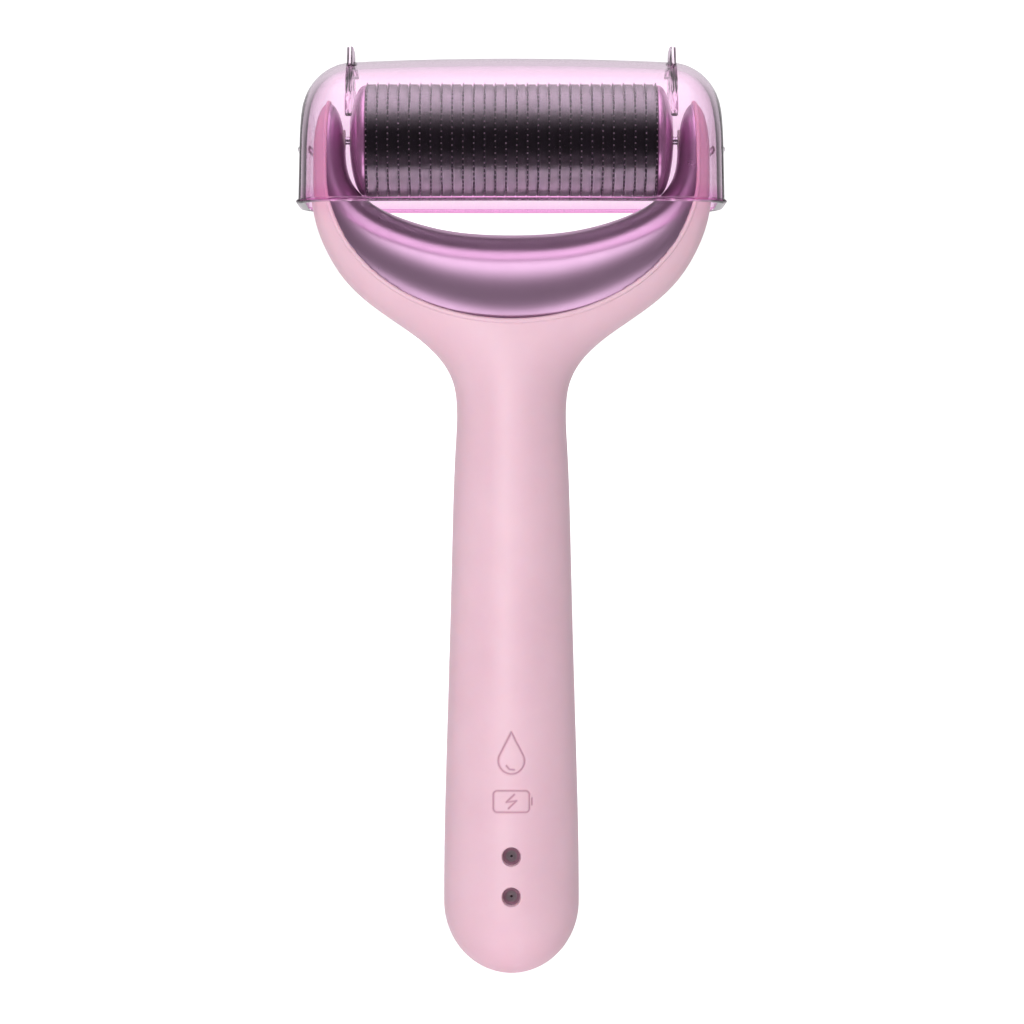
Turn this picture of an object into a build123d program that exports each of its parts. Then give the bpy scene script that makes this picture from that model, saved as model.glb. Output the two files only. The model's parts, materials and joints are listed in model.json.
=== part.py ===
from build123d import *

# Powered derma roller: a silicone-covered handle that forks into two arms. A drum of needle discs
# turns on an axle between the arms, and a clear cover slides down over the head.
# +Z runs up the handle to the head, +X across the head, -Y to the back, where the charging contacts
# are, and +Y to the front, where the button is. Millimetres. Heights below are measured from the
# handle's rounded end; the origin is on the handle's axis where the hand holds it.

import os
from math import cos, pi, radians, sin, sqrt

os.makedirs("parts", exist_ok=True)

# ---- driving dimensions ------------------------------------------------------------------------
GRIP_HEIGHT = 60.0        # handle's end up to the origin
ROUND = 0.5523            # Bezier fullness that draws a true ellipse
FULL = 0.9                # fullness of the flattened, square-cornered section at the arms

# Handle and fork envelope
END_HEIGHT = 13.3         # height of the rounded end
END_HALF_WIDTH = 12.45
END_HALF_DEPTH = 11.6
SKIN = 1.8                # silicone over the rigid frame
FRAME_WALL = 1.5
GAP = 0.03                # between the silicone and the metal that it meets
FRAME_TOP = 112.0         # top of the rigid frame inside the neck
MARK_DEPTH = 0.3          # depth of the moulded-in marks
MARK_LINE = 0.34          # width of their grooves

# Fork: where metal meets silicone, and the arms
MID_CENTRE = 147.0        # centre height of the half ellipse along the metal's edge
MID_HALF_WIDTH = 33.8
MID_DROP = 26.9
ARM_HALF_WIDTH = 37.0
ARM_INNER = 30.6
ARM_TOP = 160.4
ARM_SHOULDER = 151.0      # height where the arms' fingertip rounding begins
STEM_WIDTH, STEM_DEPTH, STEM_BOTTOM = 11.0, 9.0, 103.0

# Roller
AXIS_HEIGHT = 153.4
DISC_COUNT = 28
SPACER_WIDTH = 1.40
GROOVE_WIDTH = 0.26
DISC_THICKNESS = 0.30
PITCH = SPACER_WIDTH + GROOVE_WIDTH + DISC_THICKNESS
DRUM_LENGTH = (DISC_COUNT - 1) * PITCH + DISC_THICKNESS
DRUM_RADIUS = 10.4
GROOVE_RADIUS = 10.05
CORE_RADIUS = 7.0
NEEDLES = 60
NEEDLE_ROOT = 10.43
NEEDLE_TIP = 10.75
NEEDLE_BASE = 0.36        # width of a needle at its root
DOME_RADIUS = 10.2
DOME_RIM = 0.3            # straight rim at the dome's foot
DOME_RISE = 2.9
AXLE_RADIUS = 0.75
BUSH_RADIUS = 2.0
BUSH_BORE = 0.80
BUSH_LENGTH = 2.8

# Clear cover
COVER_BOTTOM = 141.3
COVER_TOP = 168.5
COVER_HALF_DEPTH = 15.2
COVER_BOW = 1.4           # loss of half depth from the middle to the corners
COVER_HALF_WIDTH = 38.7
COVER_WALL = 1.3
COVER_CORNER = 9.0        # corner radius seen from the back
COVER_SIDE_CORNER = 7.0   # corner radius seen from above
COVER_SAG = 1.2           # fall of the top line from the middle to the corners
COVER_LEAN = 1.2          # degrees that the end walls lean outwards
RIM_HEIGHT, RIM_PROUD = 0.7, 0.35
EAR_OUTER = 30.2          # outer face of the ears and inner ribs
EAR_THICKNESS = 1.25
EAR_TOP = 170.4
EAR_LENGTH = 8.0
GUIDE_BOTTOM = 156.9      # lower edge of the ribs and guide webs

# Electrics
CONTACT_HEIGHTS = {"lower": 15.05, "upper": 22.35}
CONTACT_RADIUS = 1.05
CONTACT_FACE = -9.70
RECESS_RADIUS = 1.7
RECESS_RIM = 0.15
BUTTON_HEIGHT = 88.0
BUTTON_RADIUS = 4.8
BEZEL_RADIUS = 6.1
BUTTON_GAP = 0.3
LED_HEIGHT = 98.0
MOTOR_RADIUS = 3.5
MOTOR_BOTTOM, MOTOR_TOP = 78.5, 92.5
MOTOR_Y = -2.2
BOARD_Y = 4.0             # inner face of the circuit board
BOARD_THICKNESS = 1.0
BATTERY_RADIUS, BATTERY_BOTTOM, BATTERY_LENGTH = 5.0, 27.0, 44.0
BATTERY_Y = -2.1

# Level sections of the envelope above the rounded end: height, half width, half depth, fullness
STATIONS = [
    (13.3, END_HALF_WIDTH, END_HALF_DEPTH, ROUND),
    (24.5, 12.36, 11.55, ROUND),
    (46.5, 11.80, 11.10, ROUND),
    (76.0, 11.00, 10.50, ROUND),
    (97.0, 10.30, 10.05, ROUND),
    (105.2, 10.15, 9.80, ROUND),
    (109.3, 10.95, 9.65, 0.555),
    (113.0, 13.10, 9.50, 0.57),
    (116.7, 16.90, 9.40, 0.60),
    (120.4, 22.10, 9.35, 0.66),
    (124.1, 27.10, 9.35, 0.73),
    (127.8, 30.80, 9.35, 0.79),
    (131.5, 33.30, 9.30, 0.84),
    (136.0, 35.40, 9.25, 0.88),
    (142.5, 36.85, 9.15, FULL),
    (149.0, ARM_HALF_WIDTH, 9.00, FULL),
    (154.0, ARM_HALF_WIDTH, 8.40, FULL),
    (158.0, ARM_HALF_WIDTH, 6.70, FULL),
    (161.0, ARM_HALF_WIDTH, 4.00, FULL),
]
END_ANGLES = (12, 28, 44, 60, 75)     # rounded end's sections, in degrees round from its tip

# The metal tube of the fork: inner edge, outer edge and half depth of its sections, from the middle
TUBE = [
    ((0.0, 136.0), (0.0, 114.6), 9.75),
    ((9.5, 136.5), (12.5, 116.8), 9.60),
    ((17.8, 138.3), (23.5, 122.3), 9.10),
    ((25.0, 141.4), (31.5, 129.9), 8.35),
    ((29.3, 145.6), (35.3, 140.2), 7.45),
    ((30.5, 150.3), (36.8, 149.2), 6.75),
    ((ARM_INNER, 154.2), (37.0, 154.2), 6.05),
    ((ARM_INNER, 158.0), (37.0, 158.0), 4.80),
    ((ARM_INNER, 161.0), (37.0, 161.0), 3.20),
]

FRAME = Pos(0, 0, -GRIP_HEIGHT)       # from heights above the handle's end to the part's own frame
BACK, FRONT = -1, 1


FRAME_SCREWS = [(-8.2, 34.0), (8.2, 34.0), (-7.2, 73.0), (7.2, 73.0)]      # x and height


# ---- helpers -----------------------------------------------------------------------------------
def oval(half_width, half_depth, fullness):
    """A closed oval of four Bezier quarters in the XY plane."""
    w, d, k = half_width, half_depth, fullness
    quarters = []
    for start, end in (((1, 0), (0, 1)), ((0, 1), (-1, 0)), ((-1, 0), (0, -1)), ((0, -1), (1, 0))):
        pull_start = (start[0] + k * end[0], start[1] + k * end[1])
        pull_end = (end[0] + k * start[0], end[1] + k * start[1])
        points = [(x * w, y * d) for x, y in (start, pull_start, pull_end, end)]
        quarters.append(Bezier(*points))
    return make_face(quarters)


def envelope(inset=0.0):
    """The smooth outer form of handle and fork, or the same form a little smaller."""
    sections = [Vertex(0, 0, inset)]
    for angle in END_ANGLES:
        a = radians(angle)
        face = oval((END_HALF_WIDTH - inset) * sin(a), (END_HALF_DEPTH - inset) * sin(a), ROUND)
        sections.append(Pos(0, 0, END_HEIGHT - (END_HEIGHT - inset) * cos(a)) * face)
    for height, half_width, half_depth, fullness in STATIONS:
        face = oval(half_width - inset, half_depth - inset, fullness)
        sections.append(Pos(0, 0, height) * face)
    return loft(sections)


def extruded_back_to_front(sketch, reach=40.0):
    """Extrudes a sketch drawn with X across and Y as height through the whole part along Y."""
    return extrude(Plane.XZ * sketch, reach, both=True)


def rod(radius, length, centre, direction="Z"):
    """A round bar of this length whose middle is at centre."""
    turn = {"X": Rot(0, 90, 0), "Y": Rot(90, 0, 0), "Z": Rot(0, 0, 0)}[direction]
    return Pos(*centre) * turn * Cylinder(radius, length)


def block(x0, x1, y0, y1, z0, z1):
    """A box between two corners."""
    return Pos((x0 + x1) / 2, (y0 + y1) / 2, (z0 + z1) / 2) * Box(x1 - x0, y1 - y0, z1 - z0)


def half(side):
    """Everything on one side of the parting plane y = 0."""
    return block(-60, 60, min(0, side * 60), max(0, side * 60), -10, 190)


def mirrored(shape):
    return mirror(shape, Plane.YZ)


def save(name, shape):
    """Writes one node as a STEP file in the part's own frame."""
    solids = [FRAME * solid for solid in shape.solids()]
    part = solids[0] if len(solids) == 1 else Compound(children=solids)
    export_step(part, f"parts/{name}.step")


# ---- handle and fork ---------------------------------------------------------------------------
def inside_metal_edge(shrink=0.0):
    """The space between the arms down to the edge where metal meets silicone."""
    a, b = MID_HALF_WIDTH - shrink, MID_DROP - shrink
    bowl = Pos(0, MID_CENTRE) * Ellipse(a, b)
    above = Pos(0, MID_CENTRE + 20) * Rectangle(2 * a, 40)
    return extruded_back_to_front(bowl + above)


def arm_tips():
    """Outline that rounds the arms' tips like fingertips and leaves everything below them."""
    centre = (ARM_INNER + ARM_HALF_WIDTH) / 2
    across = (ARM_HALF_WIDTH - ARM_INNER) / 2
    rise = ARM_TOP - ARM_SHOULDER
    body = Pos(0, ARM_SHOULDER / 2 - 10) * Rectangle(120, ARM_SHOULDER + 20)
    tip = Pos(centre, ARM_SHOULDER) * Ellipse(across, rise)
    return extruded_back_to_front(body + tip + Pos(-2 * centre, 0) * tip)


def yoke_tube():
    """The metal tube that runs up one arm, round the bottom of the fork and up the other arm."""
    sections = []
    route = [(-1, entry) for entry in reversed(TUBE[1:])] + [(1, entry) for entry in TUBE]
    for side, (inner, outer, half_depth) in route:
        a = Vector(side * inner[0], 0, inner[1])
        b = Vector(side * outer[0], 0, outer[1])
        across = (b - a).normalized()
        plane = Plane(origin=(a + b) / 2, x_dir=across, z_dir=across.cross(Vector(0, 1, 0)))
        sections.append(plane * oval((b - a).length / 2, half_depth, ROUND))
    return loft(sections)


def yoke(tips):
    """Both halves of the plated fork, with the stem that the frame clamps."""
    stem = block(-STEM_WIDTH / 2, STEM_WIDTH / 2, -STEM_DEPTH / 2, STEM_DEPTH / 2, STEM_BOTTOM, 124)
    whole = (yoke_tube() & inside_metal_edge(GAP) & tips) + stem
    for side in (-1, 1):
        bush_middle = side * (ARM_INNER + BUSH_LENGTH / 2 - 0.5)
        whole -= rod(BUSH_RADIUS, BUSH_LENGTH + 1.0, (bush_middle, 0, AXIS_HEIGHT), "X")
    for x in (-3.0, 3.0):
        whole -= rod(0.85, 30, (x, 0, 107.5), "Y")
    return whole & half(BACK), whole & half(FRONT)


def frame_halves():
    """The rigid shell inside the silicone, parted at y = 0, with its cavity."""
    outside = envelope(SKIN) & block(-40, 40, -40, 40, 0, FRAME_TOP)
    cavity = envelope(SKIN + FRAME_WALL) & block(-40, 40, -40, 40, 0, FRAME_TOP - 8)
    shell = outside - cavity + (frame_screw_bosses() & outside)
    shell -= block(-STEM_WIDTH / 2, STEM_WIDTH / 2, -STEM_DEPTH / 2, STEM_DEPTH / 2,
                   STEM_BOTTOM, FRAME_TOP + 1)
    shell -= rod(BEZEL_RADIUS - 0.5, 20, (0, 10, BUTTON_HEIGHT), "Y")
    shell -= rod(1.0, 20, (0, 10, LED_HEIGHT), "Y")
    low, high = CONTACT_HEIGHTS["lower"], CONTACT_HEIGHTS["upper"]
    shell -= block(-2.6, 2.6, -20, 0, low - 3.2, high + 3.2)
    shell -= yoke_screw_holes()
    shell -= frame_screw_holes()
    return shell & half(BACK), shell & half(FRONT)


def yoke_screw_holes():
    """Holes and counterbores for the screws that clamp the stem."""
    holes = [rod(0.85, 12.0, (x, 0, 107.5), "Y") + rod(1.45, 4.0, (x, -7.7, 107.5), "Y")
             for x in (-3.0, 3.0)]
    return holes[0] + holes[1]


def screw(x, z, head_y, tip_y):
    """A countersunk screw along Y with its head at head_y."""
    length = abs(tip_y - head_y)
    way = 1 if tip_y > head_y else -1
    shank = rod(0.8, length, (x, (head_y + tip_y) / 2, z), "Y")
    head = rod(1.4, 0.9, (x, head_y + way * 0.45, z), "Y")
    slot = block(x - 1.0, x + 1.0, head_y - 0.3, head_y + 0.3, z - 0.15, z + 0.15)
    cross = block(x - 0.15, x + 0.15, head_y - 0.3, head_y + 0.3, z - 1.0, z + 1.0)
    return shank + head - slot - cross


def frame_screws():
    """Four screws that draw the frame halves together beside the battery."""
    return [screw(x, z, -2.4, 2.6) for x, z in FRAME_SCREWS]


def frame_screw_bosses():
    """Pillars in both frame halves round the screws."""
    pillars = [rod(2.0, 10.0, (x, 0, z), "Y") for x, z in FRAME_SCREWS]
    return pillars[0] + pillars[1] + pillars[2] + pillars[3]


def frame_screw_holes():
    """Holes and counterbores for the screws that join the frame halves."""
    holes = [rod(1.45, 8.0, (x, -5.5, z), "Y") + rod(0.85, 6.0, (x, 0, z), "Y") for x, z in FRAME_SCREWS]
    return holes[0] + holes[1] + holes[2] + holes[3]


def yoke_screws():
    """Two screws that clamp the stem between the frame halves."""
    return [screw(x, 107.5, -6.6, 5.6) for x in (-3.0, 3.0)]


def drop_mark():
    """Outline of a water drop, for a splash-proof mark."""
    def drop(grow):
        r = 2.4 + grow
        tip = 5.2 + 1.6 * grow
        touch = r * r / tip
        side = sqrt(r * r - touch * touch)
        wedge = Polygon((0, tip), (-side, touch), (side, touch), align=None)
        return Circle(r) + wedge
    return drop(0) - drop(-MARK_LINE)


def charge_mark():
    """Outline of a battery with a bolt in it, for a charging mark."""
    line = MARK_LINE
    case = RectangleRounded(7.0, 4.2, 0.8) - RectangleRounded(7.0 - 2 * line, 4.2 - 2 * line, 0.5)
    nub = Pos(3.75, 0) * Rectangle(line, 1.6)
    bolt = Polygon((0.5, 1.35), (-1.15, -0.2), (-0.1, -0.2), (-0.5, -1.35), (1.15, 0.2),
                   (0.1, 0.2), align=None)
    return case + nub + bolt


def marks():
    """Cutter for the grooves of the moulded-in marks, a constant depth under the back's skin."""
    sketch = Pos(0, 39.8) * drop_mark() + Pos(0, 32.4) * charge_mark()
    return extrude(Plane.XZ * sketch, 20) - envelope(MARK_DEPTH)


def silicone(yoke_shape, tips):
    """The soft skin: handle and the outer band of the fork in one moulding."""
    body = (envelope() & tips) - inside_metal_edge()
    lips = [e for e in body.edges() if e.center().Z > 118 and on_metal_edge(e)]
    body = fillet(lips, 0.45)
    hollow = envelope(SKIN) & block(-40, 40, -40, 40, 0, FRAME_TOP)
    body -= hollow
    body -= block(-STEM_WIDTH / 2 - GAP, STEM_WIDTH / 2 + GAP, -STEM_DEPTH / 2 - GAP,
                  STEM_DEPTH / 2 + GAP, FRAME_TOP - 1, 126)
    body -= rod(BEZEL_RADIUS, 20, (0, 12, BUTTON_HEIGHT), "Y")
    body -= rod(0.9, 20, (0, 12, LED_HEIGHT), "Y")
    for height in CONTACT_HEIGHTS.values():
        body -= rod(RECESS_RADIUS, 20, (0, -14, height), "Y")
    rims = [e for e in body.edges() if is_recess_rim(e)]
    body = fillet(rims, RECESS_RIM)
    return body - marks()


def on_metal_edge(edge):
    """True for an edge of the envelope that runs along the metal's edge, on the front or back."""
    for share in (0.25, 0.5, 0.75):
        p = edge @ share
        if p.Z > MID_CENTRE:
            off = abs(p.X) - MID_HALF_WIDTH
        else:
            off = sqrt((p.X / MID_HALF_WIDTH) ** 2 + ((p.Z - MID_CENTRE) / MID_DROP) ** 2) - 1
        if abs(off) > 0.01 or abs(p.Y) < 1.0:
            return False
    return True


def is_recess_rim(edge):
    """True for an edge of the outer rim of a charging recess."""
    points = [edge @ share for share in (0.2, 0.5, 0.8)]
    if any(p.Y > -11.0 for p in points):
        return False
    distances = [abs(sqrt(p.X**2 + (p.Z - h) ** 2) - RECESS_RADIUS)
                 for h in CONTACT_HEIGHTS.values() for p in points]
    return max(sorted(distances)[:3]) < 0.02


# ---- roller ------------------------------------------------------------------------------------
def disc_sketch():
    """A washer whose rim carries the needles."""
    points = []
    for n in range(NEEDLES):
        middle = 2 * pi * n / NEEDLES
        spread = NEEDLE_BASE / 2 / NEEDLE_ROOT
        for angle, radius in ((-spread, NEEDLE_ROOT), (0, NEEDLE_TIP), (spread, NEEDLE_ROOT)):
            points.append((radius * cos(middle + angle), radius * sin(middle + angle)))
    return make_face(Polyline(*points, close=True)) - Circle(CORE_RADIUS)


def along_axis(sketch, start, length):
    """Extrudes a round sketch along +X from start, about the roller's axis."""
    plane = Plane(origin=(start, 0, AXIS_HEIGHT), x_dir=(0, 1, 0), z_dir=(1, 0, 0))
    return extrude(plane * sketch, length)


def ring(outer, inner, start, length):
    return along_axis(Circle(outer) - Circle(inner), start, length)


def spacer_rings():
    """Black rings between the discs, each with a narrow groove beside its disc."""
    rings = []
    for n in range(DISC_COUNT - 1):
        start = -DRUM_LENGTH / 2 + DISC_THICKNESS + n * PITCH
        wide = ring(DRUM_RADIUS, CORE_RADIUS, start, SPACER_WIDTH)
        rings.append(wide + ring(GROOVE_RADIUS, CORE_RADIUS, start + SPACER_WIDTH, GROOVE_WIDTH))
    return rings


def end_dome():
    """The plated cap on the right-hand end of the drum, bored for the axle."""
    rim = DRUM_LENGTH / 2 + DOME_RIM
    crown = rim + DOME_RISE
    plane = Plane(origin=(0, 0, AXIS_HEIGHT), x_dir=(1, 0, 0), z_dir=(0, -1, 0))
    edge = [
        Line((DRUM_LENGTH / 2, AXLE_RADIUS), (DRUM_LENGTH / 2, DOME_RADIUS)),
        Line((DRUM_LENGTH / 2, DOME_RADIUS), (rim, DOME_RADIUS)),
        EllipticalCenterArc((rim, 0), DOME_RISE, DOME_RADIUS, start_angle=0, arc_size=90),
        Line((crown, 0), (DRUM_LENGTH / 2, 0)),
        Line((DRUM_LENGTH / 2, 0), (DRUM_LENGTH / 2, AXLE_RADIUS)),
    ]
    solid = revolve(plane * make_face(edge), Axis((0, 0, AXIS_HEIGHT), (1, 0, 0)))
    return solid - rod(AXLE_RADIUS, 100, (0, 0, AXIS_HEIGHT), "X")


def roller_core():
    tube = rod(CORE_RADIUS, DRUM_LENGTH, (0, 0, AXIS_HEIGHT), "X")
    return tube - rod(AXLE_RADIUS, 100, (0, 0, AXIS_HEIGHT), "X")


# ---- clear cover -------------------------------------------------------------------------------
def arch(half_depth, top, bottom, x):
    """A level-footed arch section across the head at x, leaning outwards a little at the ends."""
    spring = top - half_depth
    edges = [
        Line((half_depth, bottom), (half_depth, spring)),
        CenterArc((0, spring), half_depth, 0, 180),
        Line((-half_depth, spring), (-half_depth, bottom)),
        Line((-half_depth, bottom), (half_depth, bottom)),
    ]
    share = max(0.0, abs(x) - 25) / (COVER_HALF_WIDTH - 25)
    lean = radians(COVER_LEAN) * share * (1 if x > 0 else -1)
    # The plane leans about a level line near the top of the arms, so the foot stands further out.
    pivot = Vector(x, 0, AXIS_HEIGHT)
    up = Vector(-sin(lean), 0, cos(lean))
    plane = Plane(origin=pivot - up * AXIS_HEIGHT, x_dir=(0, 1, 0), z_dir=Vector(0, 1, 0).cross(up))
    return plane * make_face(edges)


def cover_form(inset, bottom):
    """The closed form of the cover's outside, or of its inside with the wall's thickness as inset."""
    corner, side = COVER_CORNER - inset, COVER_SIDE_CORNER - inset
    end = COVER_HALF_WIDTH - inset
    stations = [0.0, 15.0, COVER_HALF_WIDTH - COVER_CORNER]
    stations += [end - corner + corner * sin(radians(a)) for a in (22, 40, 56, 70, 81, 87)]
    right = []
    for x in stations:
        into_corner = max(0.0, x - (end - corner))
        into_side = max(0.0, x - (end - side))
        top = COVER_TOP - inset - COVER_SAG * (x / COVER_HALF_WIDTH) ** 2
        top -= corner - sqrt(max(0.0, corner**2 - into_corner**2))
        half_depth = COVER_HALF_DEPTH - inset - side + sqrt(max(0.0, side**2 - into_side**2))
        half_depth -= COVER_BOW * (x / COVER_HALF_WIDTH) ** 2
        right.append((x, half_depth, top))
    left = [(-x, half_depth, top) for x, half_depth, top in reversed(right[1:])]
    return loft([arch(half_depth, top, bottom, x) for x, half_depth, top in left + right])


def ear():
    """The fin on top of the cover's right end, and the rib that carries it down inside."""
    inner = EAR_OUTER - EAR_THICKNESS
    foot = COVER_TOP - 3.0
    profile = Polygon((EAR_OUTER, foot), (EAR_OUTER, EAR_TOP), (inner, EAR_TOP), (inner - 1.0, foot),
                      align=None)
    fin = extrude(Plane.XZ * profile, EAR_LENGTH / 2, both=True)
    fin = fillet(fin.edges().filter_by(Axis.X).sort_by(Axis.Z)[-2:], 2.0)
    return fin


def cover_rib(inside):
    """Half ring inside the cover that stands between the arm and the roller's end."""
    inner = EAR_OUTER - EAR_THICKNESS
    plate = block(inner, EAR_OUTER, -20, 20, GUIDE_BOTTOM, COVER_TOP - 0.4)
    return (plate - rod(DOME_RADIUS + 0.65, 100, (0, 0, AXIS_HEIGHT), "X")) & inside


def cover_guides(inside):
    """Two webs that keep the cover centred on the arm's tip, one behind it and one in front."""
    inner = EAR_OUTER - 0.1
    webs = [block(inner, MID_HALF_WIDTH, y, y + 0.9, GUIDE_BOTTOM, COVER_TOP - 0.4)
            for y in (-9.0, 8.1)]
    return (webs[0] + webs[1]) & inside


def cover_shell():
    """The one-piece clear cover: arch, rim, ears, inner ribs, guide webs and grip ridges."""
    outside = cover_form(0.0, COVER_BOTTOM)
    inside = cover_form(COVER_WALL, COVER_BOTTOM - 5.0)
    rim = cover_form(-RIM_PROUD, COVER_BOTTOM) & block(-50, 50, -20, 20, COVER_BOTTOM,
                                                       COVER_BOTTOM + RIM_HEIGHT)
    fins = ear()
    shell = (outside + rim + fins + mirrored(fins)) - inside
    reach = cover_form(COVER_WALL - 0.5, COVER_BOTTOM)
    extras = cover_rib(reach) + cover_guides(reach)
    shell = shell + extras + mirrored(extras)
    ridge = rod(0.9, 7.0, (COVER_HALF_WIDTH - 0.25, 0, 151.5), "Y")
    return shell + ridge + mirrored(ridge)


# ---- electrics ---------------------------------------------------------------------------------
def charge_contact(height):
    """A turned contact pin with a domed face at the foot of its recess."""
    face = CONTACT_FACE
    pin = rod(CONTACT_RADIUS, 2.4, (0, face + 1.2 + 0.25, height), "Y")
    ball = 2.4
    dome = Pos(0, face + ball, height) * Sphere(ball)
    crown = dome & rod(CONTACT_RADIUS, 1.0, (0, face + 0.45, height), "Y")
    return pin + crown + rod(0.45, 3.0, (0, face + 4.0, height), "Y")


def contact_carrier():
    """The moulding that holds both contacts in the window of the frame's back half."""
    low, high = CONTACT_HEIGHTS["lower"], CONTACT_HEIGHTS["upper"]
    outer = envelope(SKIN + 0.2) & block(-2.55, 2.55, -20, -6.6, low - 3.1, high + 3.1)
    for height in CONTACT_HEIGHTS.values():
        outer -= rod(CONTACT_RADIUS, 20, (0, -10, height), "Y")
    outer -= block(-1.2, 1.2, -8.2, -6, (low + high) / 2 - 1.6, (low + high) / 2 + 1.6)
    return outer


def charging_magnet():
    """The magnet between the contacts, which pulls the charger on."""
    middle = sum(CONTACT_HEIGHTS.values()) / 2
    return block(-1.2, 1.2, -8.2, -6.7, middle - 1.6, middle + 1.6)


def front_at(height):
    """Half depth of the envelope at this height on the handle, between two stations."""
    for (h0, _, d0, _), (h1, _, d1, _) in zip(STATIONS, STATIONS[1:]):
        if h0 <= height <= h1:
            return d0 + (d1 - d0) * (height - h0) / (h1 - h0)
    raise ValueError(height)


def power_button():
    """Dished cap with a plunger that reaches the switch."""
    face = front_at(BUTTON_HEIGHT) + 0.55
    cap = rod(BUTTON_RADIUS, 1.6, (0, face - 0.8, BUTTON_HEIGHT), "Y")
    cap = fillet(cap.edges().filter_by(GeomType.CIRCLE).sort_by(Axis.Y)[-1], 0.4)
    dish = Pos(0, face + 29.75, BUTTON_HEIGHT) * Sphere(30)
    plunger_end = BOARD_Y + BOARD_THICKNESS + 1.6 + 0.8
    plunger = rod(1.2, face - 1.2 - plunger_end, (0, (face - 1.2 + plunger_end) / 2, BUTTON_HEIGHT), "Y")
    return cap - dish + plunger


def button_bezel():
    """Plated ring round the button, let into the silicone and the frame."""
    face = front_at(BUTTON_HEIGHT) + 0.35
    flange = rod(BEZEL_RADIUS - 0.02, 1.9, (0, face - 0.95, BUTTON_HEIGHT), "Y")
    flange = fillet(flange.edges().filter_by(GeomType.CIRCLE).sort_by(Axis.Y)[-1], 0.35)
    neck = rod(BEZEL_RADIUS - 0.55, 1.0, (0, face - 2.35, BUTTON_HEIGHT), "Y")
    bore = rod(BUTTON_RADIUS + BUTTON_GAP, 20, (0, face, BUTTON_HEIGHT), "Y")
    return flange + neck - bore


def light_window():
    """Light pipe from the lamp to the front skin."""
    face = front_at(LED_HEIGHT)
    inner = BOARD_Y + BOARD_THICKNESS + 0.8
    return rod(0.88, face - inner, (0, (face + inner) / 2, LED_HEIGHT), "Y")


def circuit_board():
    board = block(-3.9, 3.9, BOARD_Y, BOARD_Y + BOARD_THICKNESS, 30.0, 101.0)
    chips = block(-2.5, 2.5, BOARD_Y + BOARD_THICKNESS, BOARD_Y + BOARD_THICKNESS + 1.0, 60, 65)
    coil = block(-1.8, 1.8, BOARD_Y + BOARD_THICKNESS, BOARD_Y + BOARD_THICKNESS + 1.4, 50, 53.6)
    return board + chips + coil


def tact_switch():
    base = BOARD_Y + BOARD_THICKNESS
    body = block(-2.2, 2.2, base, base + 1.2, BUTTON_HEIGHT - 2.2, BUTTON_HEIGHT + 2.2)
    return body + rod(1.1, 0.4, (0, base + 1.4, BUTTON_HEIGHT), "Y")


def status_lamp():
    base = BOARD_Y + BOARD_THICKNESS
    return block(-0.8, 0.8, base, base + 0.75, LED_HEIGHT - 0.6, LED_HEIGHT + 0.6)


def motor_can():
    can = rod(MOTOR_RADIUS, MOTOR_TOP - MOTOR_BOTTOM, (0, MOTOR_Y, (MOTOR_TOP + MOTOR_BOTTOM) / 2))
    return can - rod(0.45, 8, (0, MOTOR_Y, MOTOR_TOP))


def motor_boot():
    """Rubber sleeve that holds the motor in the frame."""
    boot = rod(MOTOR_RADIUS + 0.9, 11.0, (0, MOTOR_Y, MOTOR_BOTTOM + 6.0))
    return boot - rod(MOTOR_RADIUS, 40, (0, MOTOR_Y, MOTOR_BOTTOM))


def motor_shaft():
    return rod(0.4, 9.4, (0, MOTOR_Y, MOTOR_TOP + 1.0))


def eccentric_weight():
    """Half-round tungsten weight on the motor's shaft."""
    low, high = MOTOR_TOP + 0.8, MOTOR_TOP + 5.6
    disc = rod(2.9, high - low, (0, MOTOR_Y, (low + high) / 2))
    cut = block(-4, 4, MOTOR_Y + 0.9, MOTOR_Y + 4, low - 1, high + 1)
    return disc - cut - rod(0.4, 20, (0, MOTOR_Y, low))


def leads(xs, y, z0, z1):
    """Straight runs of wire beside the parts that they join."""
    return [rod(0.4, z1 - z0, (x, y, (z0 + z1) / 2)) for x in xs]


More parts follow.
